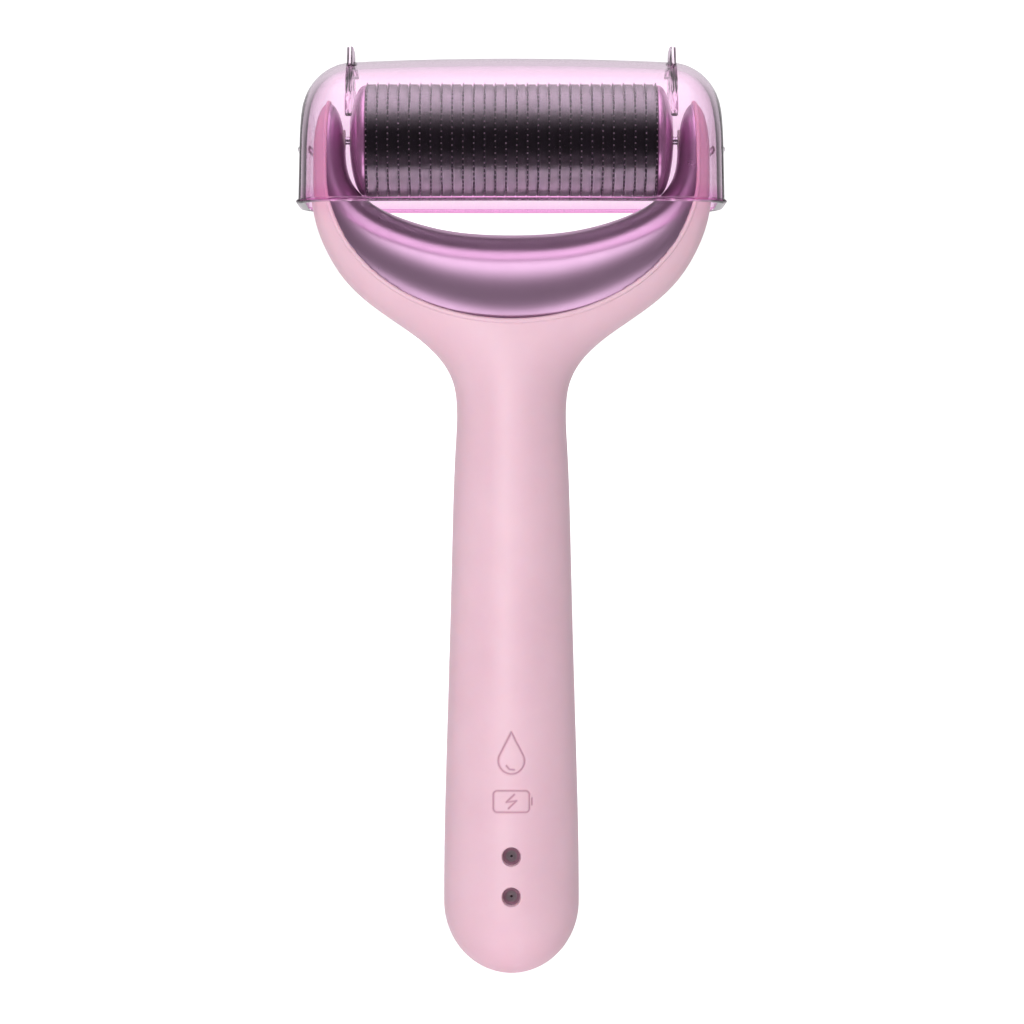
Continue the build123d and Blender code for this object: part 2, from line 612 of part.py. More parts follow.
# ---- build -------------------------------------------------------------------------------------
def main():
    tips = arm_tips()
    yoke_back, yoke_front = yoke(tips)
    save("yoke_back", yoke_back)
    save("yoke_front", yoke_front)
    save("silicone_sleeve", silicone(yoke_back, tips))
    frame_back, frame_front = frame_halves()
    save("frame_back", frame_back)
    save("frame_front", frame_front)
    save("frame_screws", Compound(children=frame_screws()))
    save("yoke_screws", Compound(children=yoke_screws()))

    for side, name in ((-1, "left"), (1, "right")):
        start = ARM_INNER if side > 0 else -ARM_INNER - BUSH_LENGTH
        save(f"bush_{name}", ring(BUSH_RADIUS, BUSH_BORE, start, BUSH_LENGTH))
    disc = along_axis(disc_sketch(), 0, DISC_THICKNESS)
    for n in range(DISC_COUNT):
        start = -DRUM_LENGTH / 2 + n * PITCH
        save(f"needle_disc_{n + 1:02d}", Pos(start, 0, 0) * disc)
    save("spacer_rings", Compound(children=spacer_rings()))
    save("roller_core", roller_core())
    axle_length = 2 * (ARM_INNER + BUSH_LENGTH - 0.2)
    save("axle", rod(AXLE_RADIUS, axle_length, (0, 0, AXIS_HEIGHT), "X"))
    dome = end_dome()
    save("end_dome_right", dome)
    save("end_dome_left", mirrored(dome))

    save("cover_shell", cover_shell())

    for name, height in CONTACT_HEIGHTS.items():
        save(f"charge_contact_{name}", charge_contact(height))
    save("contact_carrier", contact_carrier())
    save("charging_magnet", charging_magnet())
    save("circuit_board", circuit_board())
    save("tact_switch", tact_switch())
    save("status_lamp", status_lamp())
    save("light_window", light_window())
    battery_middle = BATTERY_BOTTOM + BATTERY_LENGTH / 2
    save("battery_cell", rod(BATTERY_RADIUS, BATTERY_LENGTH, (0, BATTERY_Y, battery_middle)))
    save("motor_can", motor_can())
    save("motor_boot", motor_boot())
    save("motor_shaft", motor_shaft())
    save("eccentric_weight", eccentric_weight())
    save("button_bezel", button_bezel())
    save("power_button", power_button())
    save("battery_leads", Compound(children=leads((-3.4, 3.4), 3.5, 24.0, 58.0)))


main()
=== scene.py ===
import json
import math

import bmesh
import bpy
import numpy as np
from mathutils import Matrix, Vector


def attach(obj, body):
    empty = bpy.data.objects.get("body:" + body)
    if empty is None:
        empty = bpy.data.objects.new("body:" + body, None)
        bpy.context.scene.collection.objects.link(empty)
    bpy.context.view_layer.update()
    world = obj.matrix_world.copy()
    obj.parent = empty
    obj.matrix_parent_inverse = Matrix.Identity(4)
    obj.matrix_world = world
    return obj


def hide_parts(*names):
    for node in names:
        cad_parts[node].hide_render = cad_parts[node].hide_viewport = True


# Looks of the powered derma roller. Shapes are worked out in millimetres, with heights measured
# from the handle's rounded end, and put into the CAD's frame, in metres, by make_mesh.

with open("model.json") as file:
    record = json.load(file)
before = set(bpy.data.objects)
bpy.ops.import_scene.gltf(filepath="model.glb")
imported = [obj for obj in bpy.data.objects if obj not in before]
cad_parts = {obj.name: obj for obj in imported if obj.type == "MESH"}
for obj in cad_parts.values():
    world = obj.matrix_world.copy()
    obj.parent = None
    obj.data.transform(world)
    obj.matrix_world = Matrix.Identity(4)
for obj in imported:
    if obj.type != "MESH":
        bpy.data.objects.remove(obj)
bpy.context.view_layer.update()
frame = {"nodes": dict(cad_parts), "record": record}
MM = 0.001                 # metres
GRIP_HEIGHT = 60.0         # the frame's origin
AXIS_HEIGHT = 153.4        # the roller's axis


# ---- the forms that the CAD uses -----------------------------------------------------------------
END_HEIGHT = 13.3          # the rounded end reaches this high
ARM_CENTRE = 33.8          # where silicone meets metal on the arms, and the middle of each arm
MID_CENTRE, MID_HALF_WIDTH, MID_DROP = 147.0, 33.8, 26.9
ARM_SHOULDER, ARM_TOP = 151.0, 160.4
CONTACT_HEIGHTS = (15.05, 22.35)
RECESS_RADIUS, RECESS_RIM, RECESS_FLOOR = 1.7, 0.2, 1.85
RECESS_DRAFT, RECESS_OVERCUT = 0.1, 0.02
BUTTON_HEIGHT, HOLE_RADIUS = 88.0, 5.95

# Height, half width, half depth and fullness of the level sections of handle and fork.
STATIONS = np.array([
    (13.3, 12.45, 11.60, 0.5523), (24.5, 12.36, 11.55, 0.5523), (46.5, 11.80, 11.10, 0.5523),
    (76.0, 11.00, 10.50, 0.5523), (97.0, 10.30, 10.05, 0.5523), (105.2, 10.15, 9.80, 0.5523),
    (109.3, 10.95, 9.65, 0.555), (113.0, 13.10, 9.50, 0.57), (116.7, 16.90, 9.40, 0.60),
    (120.4, 22.10, 9.35, 0.66), (124.1, 27.10, 9.35, 0.73), (127.8, 30.80, 9.35, 0.79),
    (131.5, 33.30, 9.30, 0.84), (136.0, 35.40, 9.25, 0.88), (142.5, 36.85, 9.15, 0.90),
    (149.0, 37.0, 9.00, 0.90), (154.0, 37.0, 8.40, 0.90), (158.0, 37.0, 6.70, 0.90),
    (161.0, 37.0, 4.00, 0.90)])

# Inner edge, outer edge and half depth of the fork's metal tube, from the middle to one tip.
TUBE = np.array([
    (0.0, 136.0, 0.0, 114.6, 9.75), (9.5, 136.5, 12.5, 116.8, 9.60),
    (17.8, 138.3, 23.5, 122.3, 9.10), (25.0, 141.4, 31.5, 129.9, 8.35),
    (29.3, 145.6, 35.3, 140.2, 7.45), (30.5, 150.3, 36.8, 149.2, 6.75),
    (30.6, 154.2, 37.0, 154.2, 6.05), (30.6, 158.0, 37.0, 158.0, 4.80),
    (30.6, 161.0, 37.0, 161.0, 3.20)])


def spline(xs, ys, first_slope=None):
    """A smooth curve through the points, as a function. The slope at the first can be set."""
    xs, ys = np.asarray(xs, float), np.asarray(ys, float)
    gap = np.diff(xs)
    rise = np.diff(ys) / gap
    rows, rhs = np.zeros((len(xs), len(xs))), np.zeros(len(xs))
    rows[0, :2], rhs[0] = (2, 1), 3 * rise[0]
    if first_slope is not None:
        rows[0, :2], rhs[0] = (1, 0), first_slope
    rows[-1, -2:], rhs[-1] = (1, 2), 3 * rise[-1]
    for i in range(1, len(xs) - 1):
        rows[i, i - 1:i + 2] = gap[i], 2 * (gap[i - 1] + gap[i]), gap[i - 1]
        rhs[i] = 3 * (gap[i] * rise[i - 1] + gap[i - 1] * rise[i])
    slope = np.linalg.solve(rows, rhs)

    def at(x):
        i = np.clip(np.searchsorted(xs, x) - 1, 0, len(gap) - 1)
        t = (x - xs[i]) / gap[i]
        left = ys[i] * (1 + 2 * t) * (1 - t) ** 2 + slope[i] * gap[i] * t * (1 - t) ** 2
        right = ys[i + 1] * t**2 * (3 - 2 * t) + slope[i + 1] * gap[i] * t**2 * (t - 1)
        return left + right
    return at


half_width_at = spline(STATIONS[:, 0], STATIONS[:, 1], 0.0)
half_depth_at = spline(STATIONS[:, 0], STATIONS[:, 2], 0.0)
fullness_at = spline(STATIONS[:, 0], STATIONS[:, 3], 0.0)


def section(height):
    """Half width, half depth and fullness of the envelope at each height."""
    h = np.maximum(height, END_HEIGHT)
    inside_end = np.clip((END_HEIGHT - height) / END_HEIGHT, 0, 1)
    shrink = np.sqrt(1 - inside_end**2)
    return half_width_at(h) * shrink, half_depth_at(h) * shrink, fullness_at(h)


def quarter(t, k):
    """Point of a quarter of an oval of half size 1, from its end (1, 0) to its side (0, 1)."""
    a = (1 - t) ** 3 + 3 * (1 - t) ** 2 * t + 3 * (1 - t) * t**2 * k
    b = 3 * (1 - t) ** 2 * t * k + 3 * (1 - t) * t**2 + t**3
    return a, b


def depth_at(x, height):
    """Half depth of the envelope at x, on any height."""
    w, d, k = section(height)
    share = np.clip(np.abs(x) / np.maximum(w, 1e-6), 0, 1)
    low, high = np.zeros_like(share), np.ones_like(share)
    for _ in range(30):
        t = (low + high) / 2
        beyond = quarter(t, k)[0] > share
        low, high = np.where(beyond, t, low), np.where(beyond, high, t)
    return d * quarter(low, k)[1]


def round_tips(p):
    """Closes the arms into fingertips above the shoulder."""
    s = np.clip((p[:, 2] - ARM_SHOULDER) / (ARM_TOP - ARM_SHOULDER), 0, 1)
    across, through = np.sqrt(1 - s**2), np.sqrt(1 - s**4)
    out = p.copy()
    raised = p[:, 2] > ARM_SHOULDER
    x = np.sign(p[:, 0]) * (ARM_CENTRE + (np.abs(p[:, 0]) - ARM_CENTRE) * across)
    out[raised, 0] = x[raised]
    out[:, 1] *= through
    return out


# ---- mesh helpers --------------------------------------------------------------------------------
def new_object(name, data):
    """An object in the scene."""
    obj = bpy.data.objects.new(name, data)
    bpy.context.scene.collection.objects.link(obj)
    return obj


def make_mesh(name, points, faces, body, materials, replaces=()):
    """A mesh object from points in millimetres, riding on a CAD body."""
    points = np.asarray(points, float).reshape(-1, 3)
    mesh = bpy.data.meshes.new(name)
    place = (points - (0, 0, GRIP_HEIGHT)) * MM
    mesh.from_pydata(place.tolist(), [], [tuple(int(i) for i in f) for f in faces])
    mesh.validate()
    mesh.shade_smooth()
    for material in materials:
        mesh.materials.append(material)
    obj = new_object(name, mesh)
    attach(obj, body)
    if replaces:
        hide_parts(*replaces)
    return obj


def grid_faces(rows, columns, closed=False, first=0):
    """Quads of a grid of points stored row by row."""
    i = np.arange(rows - 1)[:, None]
    j = np.arange(columns if closed else columns - 1)[None, :]
    nxt = (j + 1) % columns
    quads = np.stack([i * columns + j, i * columns + nxt,
                      (i + 1) * columns + nxt, (i + 1) * columns + j], axis=-1)
    return quads.reshape(-1, 4) + first


def join_parts(parts):
    """Points and faces of several grids put together."""
    points, faces, count = [], [], 0
    for part_points, part_faces in parts:
        part_points = np.asarray(part_points, float).reshape(-1, 3)
        points.append(part_points)
        faces += [tuple(i + count for i in face) for face in part_faces]
        count += len(part_points)
    return np.concatenate(points), faces


def tube_along(path, radius, sides, closed=True):
    """A round tube along a path of points, with a parallel-carried frame."""
    path = np.asarray(path, float)
    ahead = np.roll(path, -1, 0) - np.roll(path, 1, 0)
    if not closed:
        ahead[0], ahead[-1] = path[1] - path[0], path[-1] - path[-2]
    ahead /= np.linalg.norm(ahead, axis=1)[:, None]
    side = np.zeros_like(path)
    side[0] = np.cross(ahead[0], (0.3, 0.5, 0.8))
    side[0] /= np.linalg.norm(side[0])
    for n in range(1, len(path)):
        v = side[n - 1] - ahead[n] * np.dot(side[n - 1], ahead[n])
        side[n] = v / np.linalg.norm(v)
    other = np.cross(ahead, side)
    angle = np.linspace(0, 2 * np.pi, sides, endpoint=False)
    ring = (side[:, None] * np.cos(angle)[None, :, None]
            + other[:, None] * np.sin(angle)[None, :, None])
    points = (path[:, None] + radius * ring).reshape(-1, 3)
    faces = grid_faces(len(path), sides, closed=True).tolist()
    if closed:
        last, shift = (len(path) - 1) * sides, best_twist(ring[-1], ring[0])
        faces += [(last + j, last + (j + 1) % sides, (j + 1 + shift) % sides, (j + shift) % sides)
                  for j in range(sides)]
    return points, faces


def best_twist(last, first):
    """How many sides round the first ring must turn to meet the last one."""
    sides = len(first)
    return min(range(sides), key=lambda k: np.linalg.norm(last - np.roll(first, -k, 0)))


def lathe(profile, segments, axis="x", centre=(0, 0, 0)):
    """Turns a profile of (distance along the axis, radius) about an axis through centre."""
    profile = np.asarray(profile, float)
    angle = np.linspace(0, 2 * np.pi, segments, endpoint=False)
    along = np.repeat(profile[:, :1], segments, 1)
    u, v = profile[:, 1:] * np.cos(angle), profile[:, 1:] * np.sin(angle)
    order = {"x": (along, u, v), "y": (v, along, u)}[axis]
    points = np.stack(order, -1).reshape(-1, 3) + np.asarray(centre, float)
    return points, grid_faces(len(profile), segments, closed=True).tolist()


def rounded(corners, radius, steps=4):
    """An open profile whose inner corners are rounded."""
    corners = [np.asarray(c, float) for c in corners]
    out = [corners[0]]
    for before, corner, after in zip(corners, corners[1:], corners[2:]):
        a, b = before - corner, after - corner
        reach = min(radius, np.linalg.norm(a) / 2.01, np.linalg.norm(b) / 2.01)
        start, end = corner + a / np.linalg.norm(a) * reach, corner + b / np.linalg.norm(b) * reach
        for t in np.linspace(0, 1, steps):
            out.append((1 - t) ** 2 * start + 2 * t * (1 - t) * corner + t**2 * end)
    out.append(corners[-1])
    return np.array(out)


# ---- materials -----------------------------------------------------------------------------------
def node(tree, kind, **inputs):
    made = tree.nodes.new(kind)
    for key, value in inputs.items():
        made.inputs[key.replace("_", " ")].default_value = value
    return made


def feed(tree, place, value):
    """Links an output to an input, or sets the input to a plain value."""
    if isinstance(value, bpy.types.NodeSocket):
        tree.links.new(value, place)
    else:
        place.default_value = value


def maths(tree, operation, *values):
    """The result of a sum on outputs and plain numbers."""
    made = node(tree, "ShaderNodeMath")
    made.operation = operation
    for place, value in zip(made.inputs, values):
        feed(tree, place, value)
    return made.outputs[0]


def map_range(tree, value, smooth=False, **limits):
    """A value carried from one range to another."""
    made = node(tree, "ShaderNodeMapRange", **limits)
    if smooth:
        made.interpolation_type = "SMOOTHSTEP"
    tree.links.new(value, made.inputs["Value"])
    return made.outputs["Result"]


def mix_colours(tree, share, first, second):
    """A mix of two colours, each an output or a plain colour."""
    made = node(tree, "ShaderNodeMix")
    made.data_type = "RGBA"
    for label, value in (("Factor", share), ("A", first), ("B", second)):
        feed(tree, made.inputs[label], value)
    return made.outputs["Result"]


def show_mix(tree, share, first, second, end="Material Output"):
    """Shows a mix of two shaders as the surface."""
    made = node(tree, "ShaderNodeMixShader")
    for place, value in zip(made.inputs, (share, first, second)):
        tree.links.new(value, place)
    tree.links.new(made.outputs["Shader"], tree.nodes[end].inputs["Surface"])


def split_place(tree, kind):
    """Outputs X, Y and Z of one kind of texture coordinates."""
    coords, split = node(tree, "ShaderNodeTexCoord"), node(tree, "ShaderNodeSeparateXYZ")
    tree.links.new(coords.outputs[kind], split.inputs["Vector"])
    return split.outputs


def new_group(name, inputs, outputs):
    """An empty shader group with named sockets: (name, type, default)."""
    tree = bpy.data.node_groups.new(name, "ShaderNodeTree")
    for label, kind, default in inputs:
        socket = tree.interface.new_socket(label, in_out="INPUT", socket_type=kind)
        socket.default_value = default
    for label, kind in outputs:
        tree.interface.new_socket(label, in_out="OUTPUT", socket_type=kind)
    return tree, tree.nodes.new("NodeGroupInput"), tree.nodes.new("NodeGroupOutput")


SMEAR_SHARE = 0.35         # how much of the unevenness is at finger scale


def surface_group():
    """Fine moulded or plated skin: uneven colour and gloss at hand scale, and a fine grain."""
    tree, given, out = new_group(
        "skin",
        [("Colour", "NodeSocketColor", (1, 1, 1, 1)), ("Deeper", "NodeSocketColor", (1, 1, 1, 1)),
         ("Gloss", "NodeSocketFloat", 0.4), ("Gloss spread", "NodeSocketFloat", 0.05),
         ("Grain scale", "NodeSocketFloat", 3000.0), ("Grain depth", "NodeSocketFloat", 0.00001)],
        [("Colour", "NodeSocketColor"), ("Roughness", "NodeSocketFloat"),
         ("Normal", "NodeSocketVector")])
    link = tree.links.new
    coords = node(tree, "ShaderNodeTexCoord")
    broad = node(tree, "ShaderNodeTexNoise", Scale=55.0, Detail=3.0, Roughness=0.55)
    smear = node(tree, "ShaderNodeTexNoise", Scale=240.0, Detail=5.0, Roughness=0.65)
    grain = node(tree, "ShaderNodeTexNoise", Detail=2.0, Roughness=0.6)
    for texture in (broad, smear, grain):
        link(coords.outputs["Object"], texture.inputs["Vector"])
    link(given.outputs["Grain scale"], grain.inputs["Scale"])
    both = maths(tree, "MULTIPLY_ADD", smear.outputs["Fac"], SMEAR_SHARE, broad.outputs["Fac"])
    share = map_range(tree, both, From_Min=0.45, From_Max=0.95)
    mixed = mix_colours(tree, share, given.outputs["Colour"], given.outputs["Deeper"])
    link(mixed, out.inputs["Colour"])
    centred = maths(tree, "SUBTRACT", smear.outputs["Fac"], 0.5)
    rough = maths(tree, "MULTIPLY_ADD", centred, given.outputs["Gloss spread"],
                  given.outputs["Gloss"])
    link(rough, out.inputs["Roughness"])
    bump = node(tree, "ShaderNodeBump", Strength=1.0)
    link(given.outputs["Grain depth"], bump.inputs["Distance"])
    link(grain.outputs["Fac"], bump.inputs["Height"])
    link(bump.outputs["Normal"], out.inputs["Normal"])
    return tree


SKIN = surface_group()


def linear(rgb):
    """Display colour, 0 to 255, to linear."""
    c = np.asarray(rgb, float) / 255
    value = np.where(c <= 0.04045, c / 12.92, ((c + 0.055) / 1.055) ** 2.4)
    return (*[float(v) for v in value], 1.0)


def surface(name, rgb, deeper=None, gloss=0.4, spread=0.08, grain=3000.0, depth=0.00001, **shader):
    """A material whose colour, gloss and grain come from the skin group."""
    material = bpy.data.materials.new(name)
    material.use_nodes = True
    tree = material.node_tree
    principled = tree.nodes["Principled BSDF"]
    skin = tree.nodes.new("ShaderNodeGroup")
    skin.name = "skin"
    skin.node_tree = SKIN
    deeper = linear(deeper or [0.93 * c for c in rgb])
    for label, value in (("Colour", linear(rgb)), ("Deeper", deeper), ("Gloss", gloss),
                         ("Gloss spread", spread), ("Grain scale", grain), ("Grain depth", depth)):
        skin.inputs[label].default_value = value
    for label, place in (("Colour", "Base Color"), ("Roughness", "Roughness"),
                         ("Normal", "Normal")):
        tree.links.new(skin.outputs[label], principled.inputs[place])
    for key, value in shader.items():
        principled.inputs[key.replace("_", " ")].default_value = value
    return material


def add_groove_shade(material, painted_groove_shade):
    """Darkens the moulded-in marks a little: painted shade in their grooves."""
    tree = material.node_tree
    groove = tree.nodes.new("ShaderNodeAttribute")
    groove.attribute_name = "groove"
    shaded = mix_colours(tree, groove.outputs["Fac"], tree.nodes["skin"].outputs["Colour"],
                         linear(painted_groove_shade))
    tree.links.new(shaded, tree.nodes["Principled BSDF"].inputs["Base Color"])
    return material


def tint_by_height(material, deeper, low, high):
    """Deepens a clear material's colour from one height down to another, in metres."""
    tree = material.node_tree
    height = split_place(tree, "Object")["Z"]
    share = map_range(tree, height, From_Min=low, From_Max=high, To_Min=1.0, To_Max=0.0)
    tinted = mix_colours(tree, share, tree.nodes["skin"].outputs["Colour"], linear(deeper))
    tree.links.new(tinted, tree.nodes["Principled BSDF"].inputs["Base Color"])
    return material


def clear_plastic(name, tint, shadow_tint, gloss):
    """Clear moulded plastic whose shadow lets light through."""
    material = surface(name, tint, deeper=tint, gloss=gloss, spread=0.03, grain=900.0,
                       depth=0.000002, Transmission_Weight=1.0, IOR=1.46)
    tree = material.node_tree
    path = node(tree, "ShaderNodeLightPath")
    through = node(tree, "ShaderNodeBsdfTransparent", Color=linear(shadow_tint))
    show_mix(tree, path.outputs["Is Shadow Ray"], tree.nodes["Principled BSDF"].outputs["BSDF"],
             through.outputs["BSDF"])
    return material


# The sleeve's moulded marks get painted shade, a darker pink, in their grooves.
silicone = add_groove_shade(surface(
    "silicone", (233, 194, 208), (227, 186, 201), gloss=0.42, spread=0.10, grain=5200.0,
    depth=0.000012, Sheen_Weight=0.12, Sheen_Roughness=0.5, Subsurface_Weight=0.12,
    Subsurface_Scale=0.001), (190, 138, 158))
yoke_metal = surface("yoke_metal", (207, 166, 200), (200, 158, 193), gloss=0.29, spread=0.08,
                     grain=2600.0, depth=0.000002, Metallic=0.8, Coat_Weight=1.0,
                     Coat_Roughness=0.24)
dome_metal = surface("dome_metal", (214, 172, 206), (202, 158, 194), gloss=0.18, spread=0.06,
                     grain=2200.0, depth=0.000002, Metallic=0.7)
gloss_black = surface("spacer_plastic", (8, 6, 11), (13, 9, 16), gloss=0.22, spread=0.04,
                      grain=1600.0, depth=0.000001, Specular_IOR_Level=0.28)
# The discs' rims are the needles' steel, coloured dark as painted shade.
rim_painted_shade = surface("rim_painted_shade", (30, 26, 32), (20, 17, 22), gloss=0.35, grain=4000.0, Metallic=0.6)
needle_steel = surface("disc_steel", (226, 218, 224), (205, 198, 205), gloss=0.28, spread=0.10,
                       grain=6000.0, depth=0.000002, Metallic=1.0)
cover_clear = tint_by_height(clear_plastic("cover_clear", (249, 231, 245), (248, 224, 240), 0.02),
                             (241, 202, 232), 0.0822, 0.0850)
window_clear = clear_plastic("window_plastic", (250, 247, 250), (250, 246, 250), 0.35)
contact_metal = surface("contact_metal", (188, 178, 184), (150, 140, 146), gloss=0.30, spread=0.20,
                        grain=3800.0, depth=0.000006, Metallic=0.6)
# Painted shade for the dimple in each pin's face.
dimple_shade = surface("pin_dimple_painted_shade", (46, 40, 44), gloss=0.5, Metallic=0.5)
carrier_plastic = surface("carrier_plastic", (176, 138, 156), (160, 122, 141), gloss=0.5)
bezel_metal = surface("bezel_metal", (204, 168, 196), (188, 152, 182), gloss=0.16, spread=0.06,
                      grain=2400.0, depth=0.000002, Metallic=1.0)
button_rubber = surface("button_rubber", (228, 190, 206), (220, 180, 198), gloss=0.48,
                        grain=5200.0, depth=0.000012, Sheen_Weight=0.2)
steel = dict(Metallic=1.0, grain=3000.0, depth=0.000003)
INNER = {
    "frame_plastic": surface("frame_plastic", (205, 199, 204), gloss=0.5, depth=0.00002),
    "screw_steel": surface("screw_steel", (172, 172, 178), gloss=0.3, spread=0.2, **steel),
    "bush_plastic": surface("bush_plastic", (232, 229, 220), gloss=0.38),
    "magnet_metal": surface("magnet_metal", (206, 206, 210), gloss=0.12, **steel),
    "battery_wrap": surface("battery_wrap", (44, 92, 158), (36, 78, 138), gloss=0.28),
    "lead_insulation": surface("lead_insulation", (190, 28, 30), gloss=0.5),
    "board_laminate": surface("board_laminate", (16, 84, 44), (10, 64, 32), gloss=0.3),
    "switch_body": surface("switch_body", (24, 24, 26), gloss=0.35),
    "lamp_body": surface("lamp_body", (240, 236, 208), gloss=0.25),
    "motor_steel": surface("motor_steel", (182, 182, 188), gloss=0.28, spread=0.15, **steel),
    "boot_rubber": surface("boot_rubber", (34, 34, 36), gloss=0.7, depth=0.00003),
    "shaft_steel": surface("shaft_steel", (200, 200, 206), gloss=0.18, **steel),
    "weight_metal": surface("weight_metal", (112, 112, 118), gloss=0.5, spread=0.25, **steel),
    "axle_steel": surface("axle_steel", (206, 203, 208), gloss=0.2, spread=0.12, **steel),
    "core_plastic": surface("core_plastic", (26, 24, 28), gloss=0.45),
}


# ---- silicone sleeve -----------------------------------------------------------------------------
DROP_HEIGHT, BATTERY_HEIGHT = 39.8, 32.4
MARK_HALF_WIDTH, MARK_DEPTH = 0.17, 0.16
MARKS_TOP, MARKS_REACH = 47, 5           # the marks and recesses lie below and within these
FORK_FROM = 118                          # the sleeve's open edge lies above this
EDGE_TURN = 0.8                          # how deep the open edge turns in, as a share of depth
LIP_RADIUS, LIP_OFFSET, LIP_SINK = 0.50, 0.34, 0.16


def capsule_distance(x, z, points):
    """Distance to a polyline."""
    best = np.full(x.shape, 1e9)
    for (ax, az), (bx, bz) in zip(points, points[1:]):
        dx, dz = bx - ax, bz - az
        t = np.clip(((x - ax) * dx + (z - az) * dz) / (dx * dx + dz * dz), 0, 1)
        best = np.minimum(best, np.hypot(x - ax - t * dx, z - az - t * dz))
    return best


def drop_outline(centre):
    """Closed outline of a water drop."""
    radius, tip = 2.4, 5.2
    touch = math.asin(radius / tip)
    angles = np.linspace(math.pi - touch, 2 * math.pi + touch, 48)
    arc = [(radius * math.cos(a), centre + radius * math.sin(a)) for a in angles]
    return [(0, centre + tip)] + arc + [(0, centre + tip)]


def battery_outline(centre):
    """Closed outline of a rounded battery, its bolt and its end cap."""
    half, rise, corner = 3.3, 1.95, 0.7
    loop = []
    for cx, cz, start in ((half - corner, rise - corner, 0), (corner - half, rise - corner, 90),
                          (corner - half, corner - rise, 180), (half - corner, corner - rise, 270)):
        for a in np.radians(np.linspace(start, start + 90, 7)):
            loop.append((cx + corner * math.cos(a), centre + cz + corner * math.sin(a)))
    bolt = [(0.5, 1.25), (-0.9, -0.12), (0.9, 0.12), (-0.5, -1.25)]
    nub = [(3.75, centre - 0.6), (3.75, centre + 0.6)]
    return loop + loop[:1], [(x, centre + z) for x, z in bolt], nub


def grooves(x, h):
    """0 to 1 across the shallow moulded-in marks on the back."""
    glint = [(-0.9, 38.9), (-0.35, 38.25), (0.5, 38.15)]
    lines = [drop_outline(DROP_HEIGHT), glint, *battery_outline(BATTERY_HEIGHT)]
    nearest = np.minimum.reduce([capsule_distance(x, h, line) for line in lines])
    return np.exp(-(nearest / MARK_HALF_WIDTH) ** 2)


def recess_depth(x, h):
    """Depth of the two charging recesses, with a rolled rim."""
    depth = np.zeros(x.shape)
    for centre in CONTACT_HEIGHTS:
        r = np.hypot(x, h - centre)
        roll = np.clip(RECESS_RADIUS + RECESS_RIM - r, 0, RECESS_RIM)
        depth += RECESS_RIM - np.sqrt(np.maximum(RECESS_RIM**2 - roll**2, 0))
        depth += RECESS_FLOOR * np.clip((RECESS_RADIUS + RECESS_OVERCUT - r) / RECESS_DRAFT, 0, 1)
    return depth


def sleeve_rows():
    """Heights of the sleeve's rows of points, closest at the marks."""
    end = END_HEIGHT * (1 - np.cos(np.radians(np.linspace(2, 82, 34))))
    marks = np.arange(12.0, 46.5, 0.11)
    grip = np.arange(47.0, 104.5, 0.75)
    fork = np.arange(105.0, ARM_SHOULDER, 0.45)
    tip = ARM_SHOULDER + (ARM_TOP - ARM_SHOULDER) * np.sin(np.radians(np.linspace(0, 89.4, 34)))
    return np.concatenate([end[end < 11.9], marks, grip, fork, tip])


def metal_edge_gap(x, h):
    """Positive inside the space that the metal fills between the arms."""
    bowl = 1 - np.sqrt((x / MID_HALF_WIDTH) ** 2 + ((h - MID_CENTRE) / MID_DROP) ** 2)
    return np.where(h > MID_CENTRE, (MID_HALF_WIDTH - np.abs(x)) / MID_HALF_WIDTH, bowl)


def snap_to_metal_edge(points):
    """Moves points that lie inside the metal's edge onto it."""
    x, h = points[:, 0], points[:, 2]
    reach = np.sqrt((x / MID_HALF_WIDTH) ** 2 + ((h - MID_CENTRE) / MID_DROP) ** 2)
    low = h <= MID_CENTRE
    new_x = np.where(low, x / reach, np.sign(x) * MID_HALF_WIDTH)
    new_h = np.where(low, MID_CENTRE + (h - MID_CENTRE) / reach, h)
    y = np.sign(points[:, 1]) * depth_at(new_x, new_h)
    return np.stack([new_x, y, new_h], 1)


def open_button_hole(points, faces):
    """Takes the faces out of the button's hole in the front and rounds its edge."""
    x, h = points[:, 0], points[:, 2] - BUTTON_HEIGHT
    r = np.hypot(x, h)
    within = (points[:, 1] > 0) & (r < HOLE_RADIUS)
    faces = faces[~within[faces].all(1)]
    edge = np.intersect1d(np.unique(faces), np.flatnonzero(within))
    scale = HOLE_RADIUS / np.maximum(r[edge], 0.1)
    new_x, new_h = x[edge] * scale, BUTTON_HEIGHT + h[edge] * scale
    points[edge] = np.stack([new_x, depth_at(new_x, new_h), new_h], 1)
    return faces


